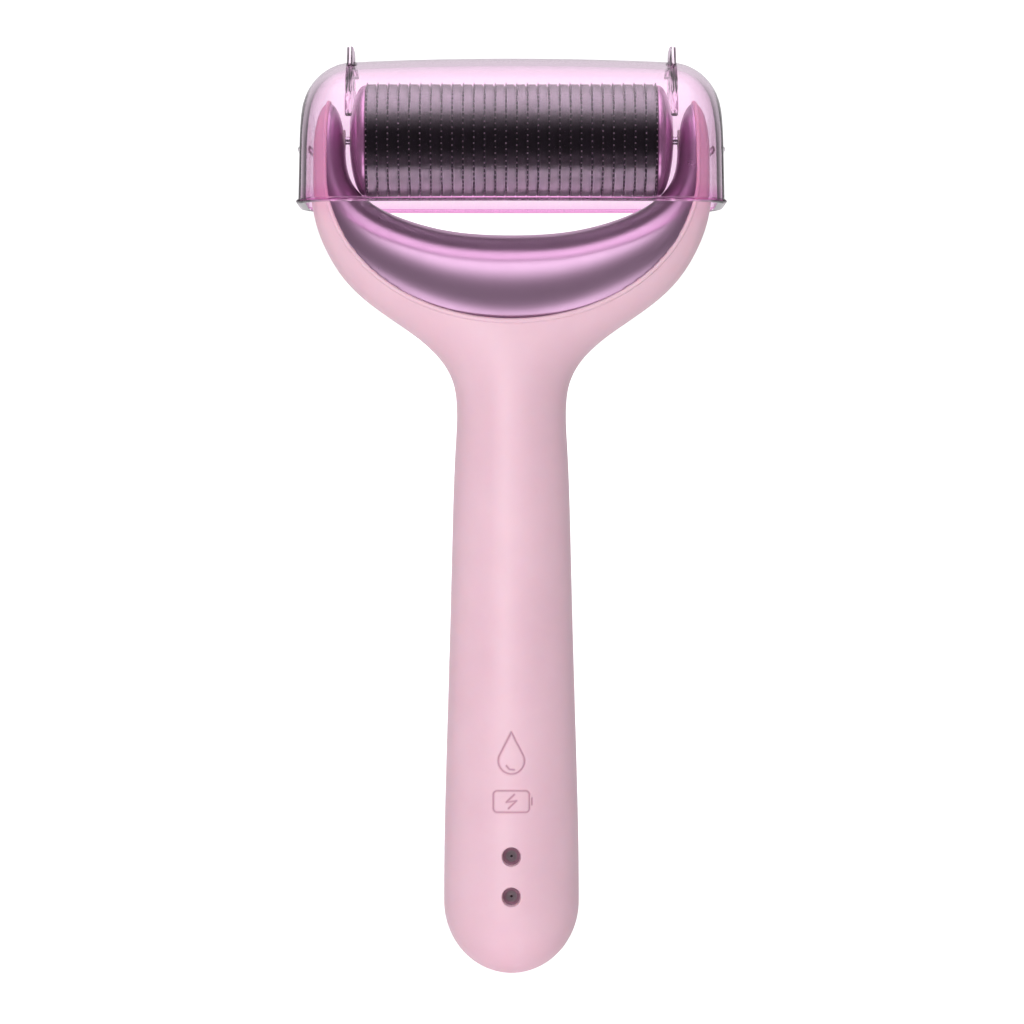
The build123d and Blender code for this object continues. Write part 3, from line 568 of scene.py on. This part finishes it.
def silicone_sleeve():
    """The soft skin of handle and fork, open where the metal shows and round the button."""
    fine, coarse = np.linspace(0, 0.27, 54), np.linspace(0.27, 1, 30)[1:]
    back = np.concatenate([fine, coarse])
    front = np.linspace(0, 1, 34)
    rows = sleeve_rows()
    w, d, k = [v[:, None] for v in section(rows)]
    quarters = []
    for share, sx, sy in ((back, 1, -1), (front[:-1], 1, 1), (front, -1, 1), (back, -1, -1)):
        a, b = quarter(1 - share[None, :], k)
        quarters.append(np.stack([sx * w * a, sy * d * b]))
    right_back, right_front, left_front, left_back = quarters
    # Round the section: back middle to right end, front, left end, and back to the middle.
    xs, ys = np.concatenate([right_back, right_front[..., ::-1][..., :-1], left_front[..., :-1],
                             left_back[..., ::-1][..., :-1]], -1)
    hs = np.repeat(rows[:, None], xs.shape[1], 1)
    count = xs.shape[1]
    points = np.stack([xs, ys, hs], -1).reshape(-1, 3)
    faces = grid_faces(len(rows), count, closed=True)
    inside = metal_edge_gap(points[:, 0], points[:, 2]) > 0
    faces = faces[~inside[faces].all(1)]
    used = np.unique(faces)
    moved = used[inside[used]]
    points[moved] = snap_to_metal_edge(points[moved])
    faces = open_button_hole(points, faces)
    groove = np.zeros(len(points))
    behind = ((points[:, 1] < 0) & (np.abs(points[:, 0]) < MARKS_REACH)
              & (points[:, 2] < MARKS_TOP))
    x, h = points[behind, 0], points[behind, 2]
    groove[behind] = grooves(x, h)
    points[behind, 1] += recess_depth(x, h) + MARK_DEPTH * groove[behind]
    points = round_tips(points)
    # The cut edge turns inwards to meet the metal.
    pairs = np.concatenate([faces[:, [i, (i + 1) % 4]] for i in range(4)])
    key = np.sort(pairs, 1)
    _, index, times = np.unique(key, axis=0, return_index=True, return_counts=True)
    rim = pairs[index[times == 1]]
    rim = rim[(points[rim][:, :, 2] > FORK_FROM).all(1)]
    rim_points = np.unique(rim)
    lower = points[rim_points].copy()
    lower[:, 1] *= EDGE_TURN
    wall = dict(zip(rim_points.tolist(), range(len(points), len(points) + len(lower))))
    walls = [(b, a, wall[a], wall[b]) for a, b in rim.tolist()]
    bottom = len(points) + len(lower)
    closing = [(j, bottom, (j + 1) % count) for j in range(count)]
    points = np.concatenate([points, lower, [(0, 0, 0)]])
    faces = faces.tolist() + walls + closing
    used = np.unique(np.concatenate([np.array(f) for f in faces]))
    place = np.full(len(points), -1)
    place[used] = np.arange(len(used))
    faces = [place[list(f)] for f in faces]
    obj = make_mesh("sleeve_skin", points[used], faces, "handle", [silicone],
                    replaces=["silicone_sleeve"])
    # The groove profile also tells the material where to paint shade.
    values = np.concatenate([groove, np.zeros(len(lower) + 1)])[used]
    layer = obj.data.attributes.new("groove", "FLOAT", "POINT")
    layer.data.foreach_set("value", np.ascontiguousarray(values, dtype=np.float32))
    return obj


def metal_edge_path(offset, sink):
    """Closed path round the metal's edge, down the back and up the front, on the silicone."""
    a, b = MID_HALF_WIDTH + offset, MID_DROP + offset
    s = np.sin(np.radians(np.linspace(88, 0, 30)))
    rise = ARM_SHOULDER + (ARM_TOP - ARM_SHOULDER) * s
    straight = np.linspace(ARM_SHOULDER, MID_CENTRE, 8)[1:-1]
    heights = np.concatenate([rise, straight])
    bend = np.radians(np.linspace(180, 360, 150))
    x = np.concatenate([-np.full(len(heights), a), a * np.cos(bend), np.full(len(heights), a)])
    h = np.concatenate([heights, MID_CENTRE + b * np.sin(bend), heights[::-1]])
    y = depth_at(x, h) - sink
    back = round_tips(np.stack([x, -y, h], 1))
    front = round_tips(np.stack([x, y, h], 1))[::-1]
    return np.concatenate([back, front])


def silicone_lip():
    """The rolled lip of silicone round the metal."""
    points, faces = tube_along(metal_edge_path(LIP_OFFSET, LIP_SINK), LIP_RADIUS, 14)
    return make_mesh("sleeve_lip", points, faces, "handle", [silicone])


# ---- plated fork ---------------------------------------------------------------------------------
TUBE_SIDES = 240
TUCK = 0.7                 # how far under the silicone the hidden metal lies


def yoke_tube():
    """The plated tube between the arms, from one fingertip to the other."""
    full = np.concatenate([TUBE[:0:-1] * (-1, 1, -1, 1, 1), TUBE])
    middle = (full[:, :2] + full[:, 2:4]) / 2
    run = np.concatenate([[0], np.cumsum(np.linalg.norm(np.diff(middle, axis=0), axis=1))])
    curves = [spline(run, full[:, i]) for i in range(5)]
    end = run[-1] - (TUBE[-1, 1] - ARM_TOP)
    shoulder = end - (ARM_TOP - ARM_SHOULDER)
    tip = shoulder + (end - shoulder) * np.sin(np.radians(np.linspace(0, 89.2, 26)))
    centre = run[len(TUBE) - 1]
    half = np.concatenate([np.linspace(centre, shoulder, 120)[:-1], tip])
    s = np.concatenate([(2 * centre - half)[:0:-1], half])
    inner_x, inner_h, outer_x, outer_h, depth = [c(s)[:, None] for c in curves]
    angle = np.linspace(0, 2 * np.pi, TUBE_SIDES, endpoint=False)[None, :]
    share = (1 + np.cos(angle)) / 2
    x = inner_x * share + outer_x * (1 - share)
    h = np.minimum(inner_h * share + outer_h * (1 - share), ARM_TOP)
    points = np.stack([x, depth * np.sin(angle), h], -1).reshape(-1, 3)
    # Outside the silicone's edge the metal dips under it.
    hidden = metal_edge_gap(points[:, 0], points[:, 2]) < 0
    under = depth_at(points[hidden, 0], np.minimum(points[hidden, 2], ARM_TOP)) - TUCK
    under = np.maximum(under, 0)
    points[hidden, 1] = np.clip(points[hidden, 1], -under, under)
    points = round_tips(points)
    count = len(s)
    faces = grid_faces(count, TUBE_SIDES, closed=True).tolist()
    last = (count - 1) * TUBE_SIDES
    faces += [tuple(range(TUBE_SIDES))[::-1], tuple(last + j for j in range(TUBE_SIDES))]
    return make_mesh("fork_tube", points, faces, "handle", [yoke_metal],
                     replaces=["yoke_back", "yoke_front"])


# ---- roller --------------------------------------------------------------------------------------
DISC_COUNT, PITCH, DISC_THICKNESS = 28, 1.96, 0.30
DRUM_HALF = ((DISC_COUNT - 1) * PITCH + DISC_THICKNESS) / 2
ROLLER_CENTRE = (0, 0, AXIS_HEIGHT)
RING_RADIUS, GROOVE_RADIUS, CORE_RADIUS = 10.4, 10.05, 7.2
SPACER_WIDTH, GROOVE_START, RING_WIDTH = 1.40, 1.42, 1.66
NEEDLES, NEEDLE_SIDES, DISC_TURN = 60, 8, 2.0
# Radius, half width and half thickness of a needle, from its root to its tip.
NEEDLE_LEVELS = [(10.34, 0.19, 0.15), (10.50, 0.15, 0.12), (10.64, 0.085, 0.07),
                 (10.74, 0.03, 0.03)]
DOME_RADIUS, DOME_RISE, AXLE_HOLE = 10.2, 2.9, 0.76


def spacer_rings():
    """The glossy rings between the discs, each with a shallow groove at one side."""
    parts = []
    for n in range(DISC_COUNT - 1):
        start = -DRUM_HALF + DISC_THICKNESS + n * PITCH
        corners = [(start, CORE_RADIUS), (start, RING_RADIUS),
                   (start + SPACER_WIDTH, RING_RADIUS), (start + GROOVE_START, GROOVE_RADIUS),
                   (start + RING_WIDTH, GROOVE_RADIUS), (start + RING_WIDTH, CORE_RADIUS)]
        parts.append(lathe(rounded(corners, 0.06), 144, centre=ROLLER_CENTRE))
    points, faces = join_parts(parts)
    return make_mesh("drum_rings", points, faces, "roller", [gloss_black],
                     replaces=["spacer_rings"])


def needle_disc_mesh():
    """One disc about the roller's axis: a washer rim, coloured dark as painted shade, and a ring of
    fine steel needles.
    """
    corners = [(0.02, CORE_RADIUS), (0.02, RING_RADIUS), (0.28, RING_RADIUS), (0.28, CORE_RADIUS)]
    ring_points, ring_faces = lathe(rounded(corners, 0.05), 120)
    points, faces = [ring_points], list(ring_faces)
    count = len(ring_points)
    for n in range(NEEDLES):
        a = 2 * math.pi * n / NEEDLES
        out = np.array([0, math.cos(a), math.sin(a)])
        onward = np.array([0, -math.sin(a), math.cos(a)])
        for radius, wide, thick in NEEDLE_LEVELS:
            for b in np.radians(np.arange(0, 360, 360 // NEEDLE_SIDES)):
                across = np.array([DISC_THICKNESS / 2 + thick * math.sin(b), 0, 0])
                points.append([out * radius + onward * wide * math.cos(b) + across])
        faces += grid_faces(len(NEEDLE_LEVELS), NEEDLE_SIDES, closed=True, first=count).tolist()
        count += NEEDLE_SIDES * len(NEEDLE_LEVELS)
        faces.append(tuple(count - NEEDLE_SIDES + j for j in range(NEEDLE_SIDES)))
    points = np.concatenate([np.reshape(p, (-1, 3)) for p in points]) * MM
    mesh = bpy.data.meshes.new("needle_disc")
    mesh.from_pydata(points.tolist(), [], faces)
    mesh.shade_smooth()
    mesh.materials.append(rim_painted_shade)
    mesh.materials.append(needle_steel)
    shiny = np.zeros(len(mesh.polygons), int)
    shiny[len(ring_faces):] = 1
    mesh.polygons.foreach_set("material_index", shiny)
    return mesh


def needle_discs():
    """All the discs, each turned a little against its neighbours."""
    mesh = needle_disc_mesh()
    for n in range(DISC_COUNT):
        obj = new_object(f"disc_{n + 1:02d}", mesh)
        x = -DRUM_HALF + n * PITCH
        obj.location = (x * MM, 0, (AXIS_HEIGHT - GRIP_HEIGHT) * MM)
        obj.rotation_euler = (math.radians(DISC_TURN * (n % 3)), 0, 0)
        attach(obj, "roller")
        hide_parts(f"needle_disc_{n + 1:02d}")


def end_domes():
    """The plated caps on the drum's ends."""
    for side, name in ((-1, "left"), (1, "right")):
        rim = DRUM_HALF + 0.3
        arc = np.radians(np.linspace(4, 85.5, 40))
        crown = [(rim + DOME_RISE * math.sin(a), DOME_RADIUS * math.cos(a)) for a in arc]
        corners = [(DRUM_HALF + 0.02, CORE_RADIUS), (DRUM_HALF + 0.02, 10.0),
                   (DRUM_HALF + 0.1, DOME_RADIUS)]
        hole = [(rim + 2.86, 0.8), (rim + 2.6, AXLE_HOLE), (rim, AXLE_HOLE)]
        profile = np.array(corners + crown + hole)
        profile[:, 0] *= side
        points, faces = lathe(profile, 160, centre=ROLLER_CENTRE)
        make_mesh(f"dome_{name}", points, faces, "roller", [dome_metal],
                  replaces=[f"end_dome_{name}"])


# ---- clear cover ---------------------------------------------------------------------------------
COVER_BOTTOM, COVER_TOP = 141.3, 168.5
COVER_HALF_DEPTH, COVER_HALF_WIDTH = 15.2, 38.7
COVER_CORNER, COVER_SIDE, COVER_SAG, COVER_BOW = 9.0, 7.0, 1.2, 1.4
COVER_WALL, COVER_LEAN = 1.3, math.radians(1.2)
LEAN_FROM = 25             # the end walls lean from here outwards
BEAD_RADIUS, BEAD_RISE, BEAD_OUT = 0.34, 0.36, 0.08
EAR_INNER, EAR_OUTER, EAR_HALF_DEPTH = 29.0, 30.2, 4.0
RIB_INNER, RIB_OUTER = 10.85, 13.3
RIDGE_X, RIDGE_HEIGHT, RIDGE_RADIUS = 38.5, 151.5, 0.75
SEAM_GAP, POINT_GAP = 0.00002, 1e-7      # points closer than this are one, in metres


def cover_lean(points):
    """Leans the end walls outwards towards the foot."""
    share = np.clip((np.abs(points[:, 0]) - LEAN_FROM) / (COVER_HALF_WIDTH - LEAN_FROM), 0, 1)
    out = points.copy()
    out[:, 0] -= np.sign(points[:, 0]) * (points[:, 2] - AXIS_HEIGHT) * np.sin(COVER_LEAN * share)
    return out


def cover_surface(inset):
    """The cover's outer or inner skin: arches along the head, closed by flat ends."""
    corner, side, end = COVER_CORNER - inset, COVER_SIDE - inset, COVER_HALF_WIDTH - inset
    bend = end - corner + corner * np.sin(np.radians(np.linspace(0, 88.5, 34)))
    right = np.concatenate([np.linspace(0, end - corner, 24)[:-1], bend, [end]])
    x = np.concatenate([-right[:0:-1], right])
    into_corner = np.clip(np.abs(x) - (end - corner), 0, corner)
    into_side = np.clip(np.abs(x) - (end - side), 0, side)
    sag = COVER_SAG * (x / COVER_HALF_WIDTH) ** 2
    top = COVER_TOP - inset - sag - corner + np.sqrt(corner**2 - into_corner**2)
    half = COVER_HALF_DEPTH - inset - side + np.sqrt(side**2 - into_side**2)
    half -= COVER_BOW * (x / COVER_HALF_WIDTH) ** 2
    rise = np.linspace(0, 1, 22)[:-1]
    arc = np.radians(np.linspace(0, 180, 60))
    spring = top - half
    straight = COVER_BOTTOM + rise[None, :] * (spring - COVER_BOTTOM)[:, None]
    y = np.concatenate([np.repeat(half[:, None], len(rise), 1), half[:, None] * np.cos(arc),
                        np.repeat(-half[:, None], len(rise), 1)], 1)
    h = np.concatenate([straight, spring[:, None] + half[:, None] * np.sin(arc),
                        straight[:, ::-1]], 1)
    points = np.stack([np.repeat(x[:, None], y.shape[1], 1), y, h], -1)
    rows, columns = y.shape
    grids = [(points.reshape(-1, 3), grid_faces(rows, columns).tolist())]
    for edge, outward in ((points[0], False), (points[-1], True)):
        foot = np.array([edge[0][0], 0.0, COVER_BOTTOM])
        shares = np.array([1, 0.85, 0.6, 0.35, 0.02])[:, None, None]
        fan = foot + (edge[None] - foot) * shares
        faces = grid_faces(len(shares), columns)
        faces = faces[:, ::-1] if outward else faces
        grids.append((fan.reshape(-1, 3), faces.tolist()))
    return grids, points


def cover_foot(points):
    """Loop of the skin's lower edge, round the whole cover."""
    return np.concatenate([points[:, 0], points[::-1, -1]])


def cover_shell():
    """The clear moulding: outer skin, inner skin and the rounded edge between them."""
    outer, outer_points = cover_surface(0.0)
    inner, inner_points = cover_surface(COVER_WALL)
    inner = [(p, [f[::-1] for f in faces]) for p, faces in inner]
    outer_foot, inner_foot = cover_foot(outer_points), cover_foot(inner_points)
    share = np.linspace(0, 1, 5)[:, None, None]
    lip = outer_foot[None] * (1 - share) + inner_foot[None] * share
    lip[:, :, 2] -= 0.12 * np.sin(np.pi * share[:, :, 0])
    seam = (lip.reshape(-1, 3), grid_faces(len(share), lip.shape[1], closed=True)[:, ::-1].tolist())
    points, faces = join_parts(outer + inner + [seam])
    obj = make_mesh("cover_clear_shell", cover_lean(points), faces, "cover",
                    [cover_clear], replaces=["cover_shell"])
    weld(obj, SEAM_GAP)
    return outer_foot


def weld(obj, distance):
    """Merges the seams between grids and makes the normals agree."""
    work = bmesh.new()
    work.from_mesh(obj.data)
    bmesh.ops.remove_doubles(work, verts=work.verts, dist=distance)
    bmesh.ops.recalc_face_normals(work, faces=work.faces)
    work.to_mesh(obj.data)
    work.free()


def cover_rim(loop):
    """The small bead round the cover's foot."""
    outline = cover_lean(loop)
    outline[:, 2] = COVER_BOTTOM + BEAD_RISE
    middle = outline.mean(0)
    outward = outline - middle
    outward[:, 2] = 0
    outline += BEAD_OUT * outward / np.linalg.norm(outward, axis=1)[:, None]
    gaps = np.linalg.norm(outline - np.roll(outline, 1, 0), axis=1)
    outline = outline[gaps > 0.02]
    points, faces = tube_along(outline, BEAD_RADIUS, 10)
    make_mesh("cover_bead", points, faces, "cover", [cover_clear])


def slab(profile, y0, y1, bevel):
    """A plate from an outline in X and height, between two depths, with softened edges."""
    work = bmesh.new()
    rings = [[work.verts.new((x, y, h)) for x, h in profile] for y in (y0, y1)]
    work.faces.new(rings[0])
    work.faces.new(rings[1][::-1])
    count = len(profile)
    for i in range(count):
        j = (i + 1) % count
        work.faces.new((rings[0][j], rings[0][i], rings[1][i], rings[1][j]))
    bmesh.ops.recalc_face_normals(work, faces=work.faces)
    bmesh.ops.bevel(work, geom=list(work.edges), offset=bevel, segments=2, affect="EDGES",
                    clamp_overlap=True)
    work.verts.index_update()
    points = [tuple(v.co) for v in work.verts]
    faces = [tuple(v.index for v in f.verts) for f in work.faces]
    work.free()
    return points, faces


def ear(side, name):
    """A fin on top of the cover."""
    fin = rounded([(EAR_INNER, 165.6), (28.1, 165.6), (28.85, 167.6), (28.95, 170.4),
                   (EAR_OUTER, 170.4), (EAR_OUTER, 165.6), (29.1, 165.6)], 0.5)
    fin = [(side * x, h) for x, h in fin[1:-1]]
    points, faces = slab(fin, -EAR_HALF_DEPTH, EAR_HALF_DEPTH, 0.18)
    make_mesh(f"ear_{name}", points, faces, "cover", [cover_clear])


def rib(side, name):
    """The rib inside, which carries the fin down round the roller's end."""
    arc = np.radians(np.linspace(18, 162, 48))
    ring = []
    for a in arc:
        c, s = math.cos(a), math.sin(a)
        outer = min(RIB_OUTER, 12.4 + 1.2 * s)
        ring.append([(x, r * c, AXIS_HEIGHT + r * s)
                     for x, r in ((EAR_INNER, RIB_INNER), (EAR_OUTER, RIB_INNER),
                                  (EAR_OUTER, outer), (EAR_INNER, outer))])
    ring = np.array(ring)
    ring[:, :, 0] *= side
    faces = grid_faces(len(arc), 4, closed=True).tolist()
    faces += [(0, 1, 2, 3), tuple(len(arc) * 4 - 4 + j for j in (3, 2, 1, 0))]
    obj = make_mesh(f"rib_{name}", ring.reshape(-1, 3), faces, "cover",
                    [cover_clear])
    soften(obj, 0.00015)


def grip_ridge(side, name):
    """The small ridge on the cover's end, for a thumb."""
    ridge = np.array([(side * RIDGE_X, y, RIDGE_HEIGHT) for y in np.linspace(-3.5, 3.5, 24)])
    points, faces = tube_along(ridge, RIDGE_RADIUS, 14, closed=False)
    make_mesh(f"grip_ridge_{name}", points, faces, "cover", [cover_clear])


def soften(obj, width):
    """Bevels the sharp edges of a piece and fixes its normals."""
    work = bmesh.new()
    work.from_mesh(obj.data)
    bmesh.ops.recalc_face_normals(work, faces=work.faces)
    sharp = [e for e in work.edges if len(e.link_faces) == 2 and e.calc_face_angle() > 0.6]
    bmesh.ops.bevel(work, geom=sharp, offset=width, segments=2, affect="EDGES", clamp_overlap=True)
    work.to_mesh(obj.data)
    work.free()


# ---- contacts, button, lamp ----------------------------------------------------------------------
DIMPLE_RADIUS = 0.25 * MM
BEZEL_OUTER, BEZEL_INNER, CAP_RADIUS, STEM_RADIUS = 6.08, 5.12, 4.8, 1.2


def charge_contacts():
    """The turned pins, each with a dimple in its face, coloured dark as painted shade."""
    for name, height in zip(("lower", "upper"), CONTACT_HEIGHTS):
        corners = [(-7.0, 1.05), (-9.56, 1.05), (-9.65, 0.98), (-9.69, 0.6), (-9.70, 0.32),
                   (-9.61, 0.24), (-9.55, 0.0)]
        points, faces = lathe(rounded(corners, 0.05, 3), 72, axis="y", centre=(0, 0, height))
        obj = make_mesh(f"contact_{name}", points, faces, "handle",
                        [contact_metal, dimple_shade], replaces=[f"charge_contact_{name}"])
        # Faces within the dimple take the painted shade.
        for polygon in obj.data.polygons:
            x, _, z = polygon.center
            if math.hypot(x, z - (height - GRIP_HEIGHT) * MM) < DIMPLE_RADIUS:
                polygon.material_index = 1
        weld(obj, POINT_GAP)


def front_controls():
    """The plated bezel and the dished rubber button inside it."""
    depth = float(half_depth_at(np.array([BUTTON_HEIGHT]))[0])
    centre = (0, 0, BUTTON_HEIGHT)
    top = depth + 0.35
    corners = [(top - 1.8, BEZEL_OUTER), (top - 0.3, BEZEL_OUTER), (top, 5.85), (top, 5.35),
               (top - 0.3, BEZEL_INNER), (top - 2.6, BEZEL_INNER)]
    points, faces = lathe(rounded(corners, 0.14), 128, axis="y", centre=centre)
    obj = make_mesh("bezel_ring", points, faces, "handle", [bezel_metal],
                    replaces=["button_bezel"])
    weld(obj, POINT_GAP)
    face = depth + 0.55
    dish = [(face - 0.32 * (1 - (r / 4.4) ** 2), r) for r in np.linspace(0, 4.4, 12)]
    profile = dish + [(face - 0.05, 4.62), (face - 0.3, 4.78), (face - 1.55, CAP_RADIUS),
                      (face - 1.55, STEM_RADIUS), (face - 3.3, STEM_RADIUS)]
    points, faces = lathe(profile, 128, axis="y", centre=centre)
    obj = make_mesh("button_cap", points, faces, "button", [button_rubber],
                    replaces=["power_button"])
    weld(obj, POINT_GAP)


# ---- build ---------------------------------------------------------------------------------------
def dress_cad_nodes():
    """Gives every CAD node the finish of its slot."""
    shown = {"silicone": silicone, "yoke_metal": yoke_metal, "dome_metal": dome_metal,
             "spacer_plastic": gloss_black, "disc_steel": needle_steel, "cover_clear": cover_clear,
             "window_plastic": window_clear, "contact_metal": contact_metal,
             "carrier_plastic": carrier_plastic, "bezel_metal": bezel_metal,
             "button_rubber": button_rubber, **INNER}
    slots = {p["node"]: p["material_slot"] for p in frame["record"]["subparts"]}
    for name, obj in frame["nodes"].items():
        obj.data.materials.clear()
        obj.data.materials.append(shown[slots[name]])


def area_light(name, place, aim, width, height, power, glossy=True, colour=(1, 1, 1)):
    light = bpy.data.lights.new(name, "AREA")
    light.shape, light.size, light.size_y = "RECTANGLE", width, height
    light.energy, light.color = power, colour
    obj = new_object(name, light)
    obj.location = place
    obj.rotation_euler = (Vector(aim) - Vector(place)).to_track_quat("-Z", "Y").to_euler()
    obj.visible_glossy = obj.visible_transmission = glossy
    obj.visible_camera = False
    return obj


def straight_sight(tree):
    """1 for light that reaches the eye with no bounce but through clear plastic, else 0."""
    path = node(tree, "ShaderNodeLightPath")
    bounces = maths(tree, "ADD", path.outputs["Glossy Depth"], path.outputs["Diffuse Depth"])
    return maths(tree, "LESS_THAN", bounces, 0.5)


# Brightness of the surroundings that the object reflects, by angle: 0 is the viewer's side,
# 90 straight above, 180 behind and -90 straight below.
SURROUNDINGS = [(-180, 0.75), (-130, 0.85), (-95, 1.00), (-66, 1.80), (-46, 1.80), (-32, 0.40),
                (-18, 0.08), (6, 0.08), (16, 0.20), (28, 0.75), (40, 1.60), (52, 2.10), (82, 2.40),
                (98, 1.60), (112, 1.00), (145, 0.75), (180, 0.75)]
BRIGHTEST = 3.0            # what the curve's full height stands for
SOFT_SHARE = 0.26          # how much of it reaches matt surfaces


def elevation_round_x(tree):
    """0 to 1 as a direction turns once round the X axis, from straight behind, by way of below."""
    place = split_place(tree, "Generated")
    front = maths(tree, "MULTIPLY", place["Y"], -1.0)
    angle = maths(tree, "ARCTAN2", place["Z"], front)
    return maths(tree, "MULTIPLY_ADD", angle, 0.5 / math.pi, 0.5)


def surroundings(tree):
    """Strength of what the object reflects: by angle, less at the far sides and for matt skin."""
    ramp = node(tree, "ShaderNodeFloatCurve")
    curve = ramp.mapping.curves[0]
    points = [((angle / 180 + 1) / 2, value / BRIGHTEST) for angle, value in SURROUNDINGS]
    curve.points[0].location, curve.points[1].location = points[0], points[-1]
    for place in points[1:-1]:
        curve.points.new(*place)
    for point in curve.points:
        point.handle_type = "AUTO_CLAMPED"
    ramp.mapping.update()
    tree.links.new(elevation_round_x(tree), ramp.inputs["Value"])
    strength = maths(tree, "MULTIPLY", ramp.outputs["Value"], BRIGHTEST)
    sideways = maths(tree, "ABSOLUTE", split_place(tree, "Generated")["X"])
    ends = map_range(tree, sideways, smooth=True, From_Min=0.25, From_Max=0.85, To_Min=1.0,
                     To_Max=0.10)
    narrowed = maths(tree, "MULTIPLY", ends, strength)
    path = node(tree, "ShaderNodeLightPath")
    share = map_range(tree, path.outputs["Is Diffuse Ray"], To_Min=1.0, To_Max=SOFT_SHARE)
    return maths(tree, "MULTIPLY", share, narrowed)


def only_on(light, pieces):
    """Lets a light fall on some pieces alone."""
    lit = bpy.data.collections.new(light.name + "_receivers")
    for piece in pieces:
        lit.objects.link(piece)
    light.light_linking.receiver_collection = lit
    light.data.cycles.use_multiple_importance_sampling = False


def studio(drum, soft):
    """White when seen directly, the surroundings in reflections, and the lights."""
    world = bpy.data.worlds.new("studio")
    bpy.context.scene.world = world
    world.use_nodes = True
    tree = world.node_tree
    seen, lit = tree.nodes["Background"], node(tree, "ShaderNodeBackground")
    seen.inputs["Color"].default_value = (1, 1, 1, 1)
    seen.inputs["Strength"].default_value = 1.0
    lit.inputs["Color"].default_value = (1.0, 0.96, 1.0, 1)
    tree.links.new(surroundings(tree), lit.inputs["Strength"])
    show_mix(tree, straight_sight(tree), lit.outputs["Background"], seen.outputs["Background"],
             "World Output")
    middle = (0, 0, 0.03)
    for name, place, wide, high, power in (
            ("left_strip", (-0.14, -0.76, 0.05), 0.16, 0.9, 3.2),
            ("left_side", (-0.7, -0.1, 0.1), 0.5, 0.8, 0.50),
            ("right_side", (0.7, 0.1, 0.1), 0.4, 0.8, 0.12)):
        only_on(area_light(name, place, middle, wide, high, power), soft)
    area_light("front_fill", (-0.15, -0.9, 0.2), middle, 0.8, 0.8, 1.2, glossy=False)
    area_light("back_fill", (0.15, 0.9, 0.2), middle, 0.8, 0.8, 1.9, glossy=False)
    head, lilac = (0, 0, (AXIS_HEIGHT - GRIP_HEIGHT) * MM), (1.0, 0.80, 0.98)
    for name, y, z, deep, power in (("top_box", 0.054, 0.593, 0.49, 48.0),
                                    ("top_strip", -0.295, 0.593, 0.05, 4.0),
                                    ("low_box", -0.096, -0.407, 0.243, 20.0),
                                    ("low_back_box", 0.24, -0.407, 0.32, 18.0)):
        light = area_light(name, (0, y, z), head, 0.9, deep, power, colour=lilac)
        light.rotation_euler = (0 if z > 0 else math.pi, 0, 0)
        light.visible_diffuse = light.data.use_shadow = False
        only_on(light, drum)


def floor():
    """A pale sweep: level under the object and rising smoothly behind it."""
    low, reach, rise = -0.0605, 0.5, 0.7
    bend = np.radians(np.linspace(0, 90, 24))
    profile = [(-1.2, low), (-0.3, low), (reach, low)]
    profile += [(reach + rise * math.sin(a), low + rise * (1 - math.cos(a))) for a in bend[1:]]
    profile += [(1.2, 2.5)]
    points = [(x, y, z) for y, z in profile for x in (-3, 3)]
    mesh = bpy.data.meshes.new("sweep")
    mesh.from_pydata(points, [], grid_faces(len(profile), 2).tolist())
    mesh.shade_smooth()
    material = bpy.data.materials.new("pale_sweep")
    material.use_nodes = True
    tree = material.node_tree
    principled = tree.nodes["Principled BSDF"]
    principled.inputs["Base Color"].default_value = (0.9, 0.9, 0.9, 1)
    principled.inputs["Roughness"].default_value = 0.9
    principled.inputs["Emission Color"].default_value = (1, 1, 1, 1)
    glow = map_range(tree, straight_sight(tree), To_Min=0.25, To_Max=0.75)
    tree.links.new(glow, principled.inputs["Emission Strength"])
    # Reflections pass through it to the surroundings.
    clear, path = node(tree, "ShaderNodeBsdfTransparent"), node(tree, "ShaderNodeLightPath")
    glossy = maths(tree, "GREATER_THAN", path.outputs["Glossy Depth"], 0.5)
    show_mix(tree, glossy, principled.outputs["BSDF"], clear.outputs["BSDF"])
    mesh.materials.append(material)
    obj = new_object("sweep", mesh)
    obj.visible_shadow = False


def camera():
    """The camera square on to the object's back."""
    data = bpy.data.cameras.new("camera")
    data.lens, data.sensor_width = 133.4, 36.0
    data.clip_start, data.clip_end = 0.01, 20
    obj = new_object("camera", data)
    obj.location = (0.0001, -0.7, 0.02496)
    obj.rotation_euler = (math.radians(90), 0, 0)
    bpy.context.scene.camera = obj


dress_cad_nodes()
soft_pieces = [silicone_sleeve(), silicone_lip()]
yoke_tube()
drum_rings = spacer_rings()
needle_discs()
end_domes()
cover_rim(cover_shell())
for side, name in ((-1, "left"), (1, "right")):
    ear(side, name)
    rib(side, name)
    grip_ridge(side, name)
charge_contacts()
front_controls()
studio([drum_rings], soft_pieces)
floor()
camera()
bpy.context.scene.view_settings.view_transform = "Standard"
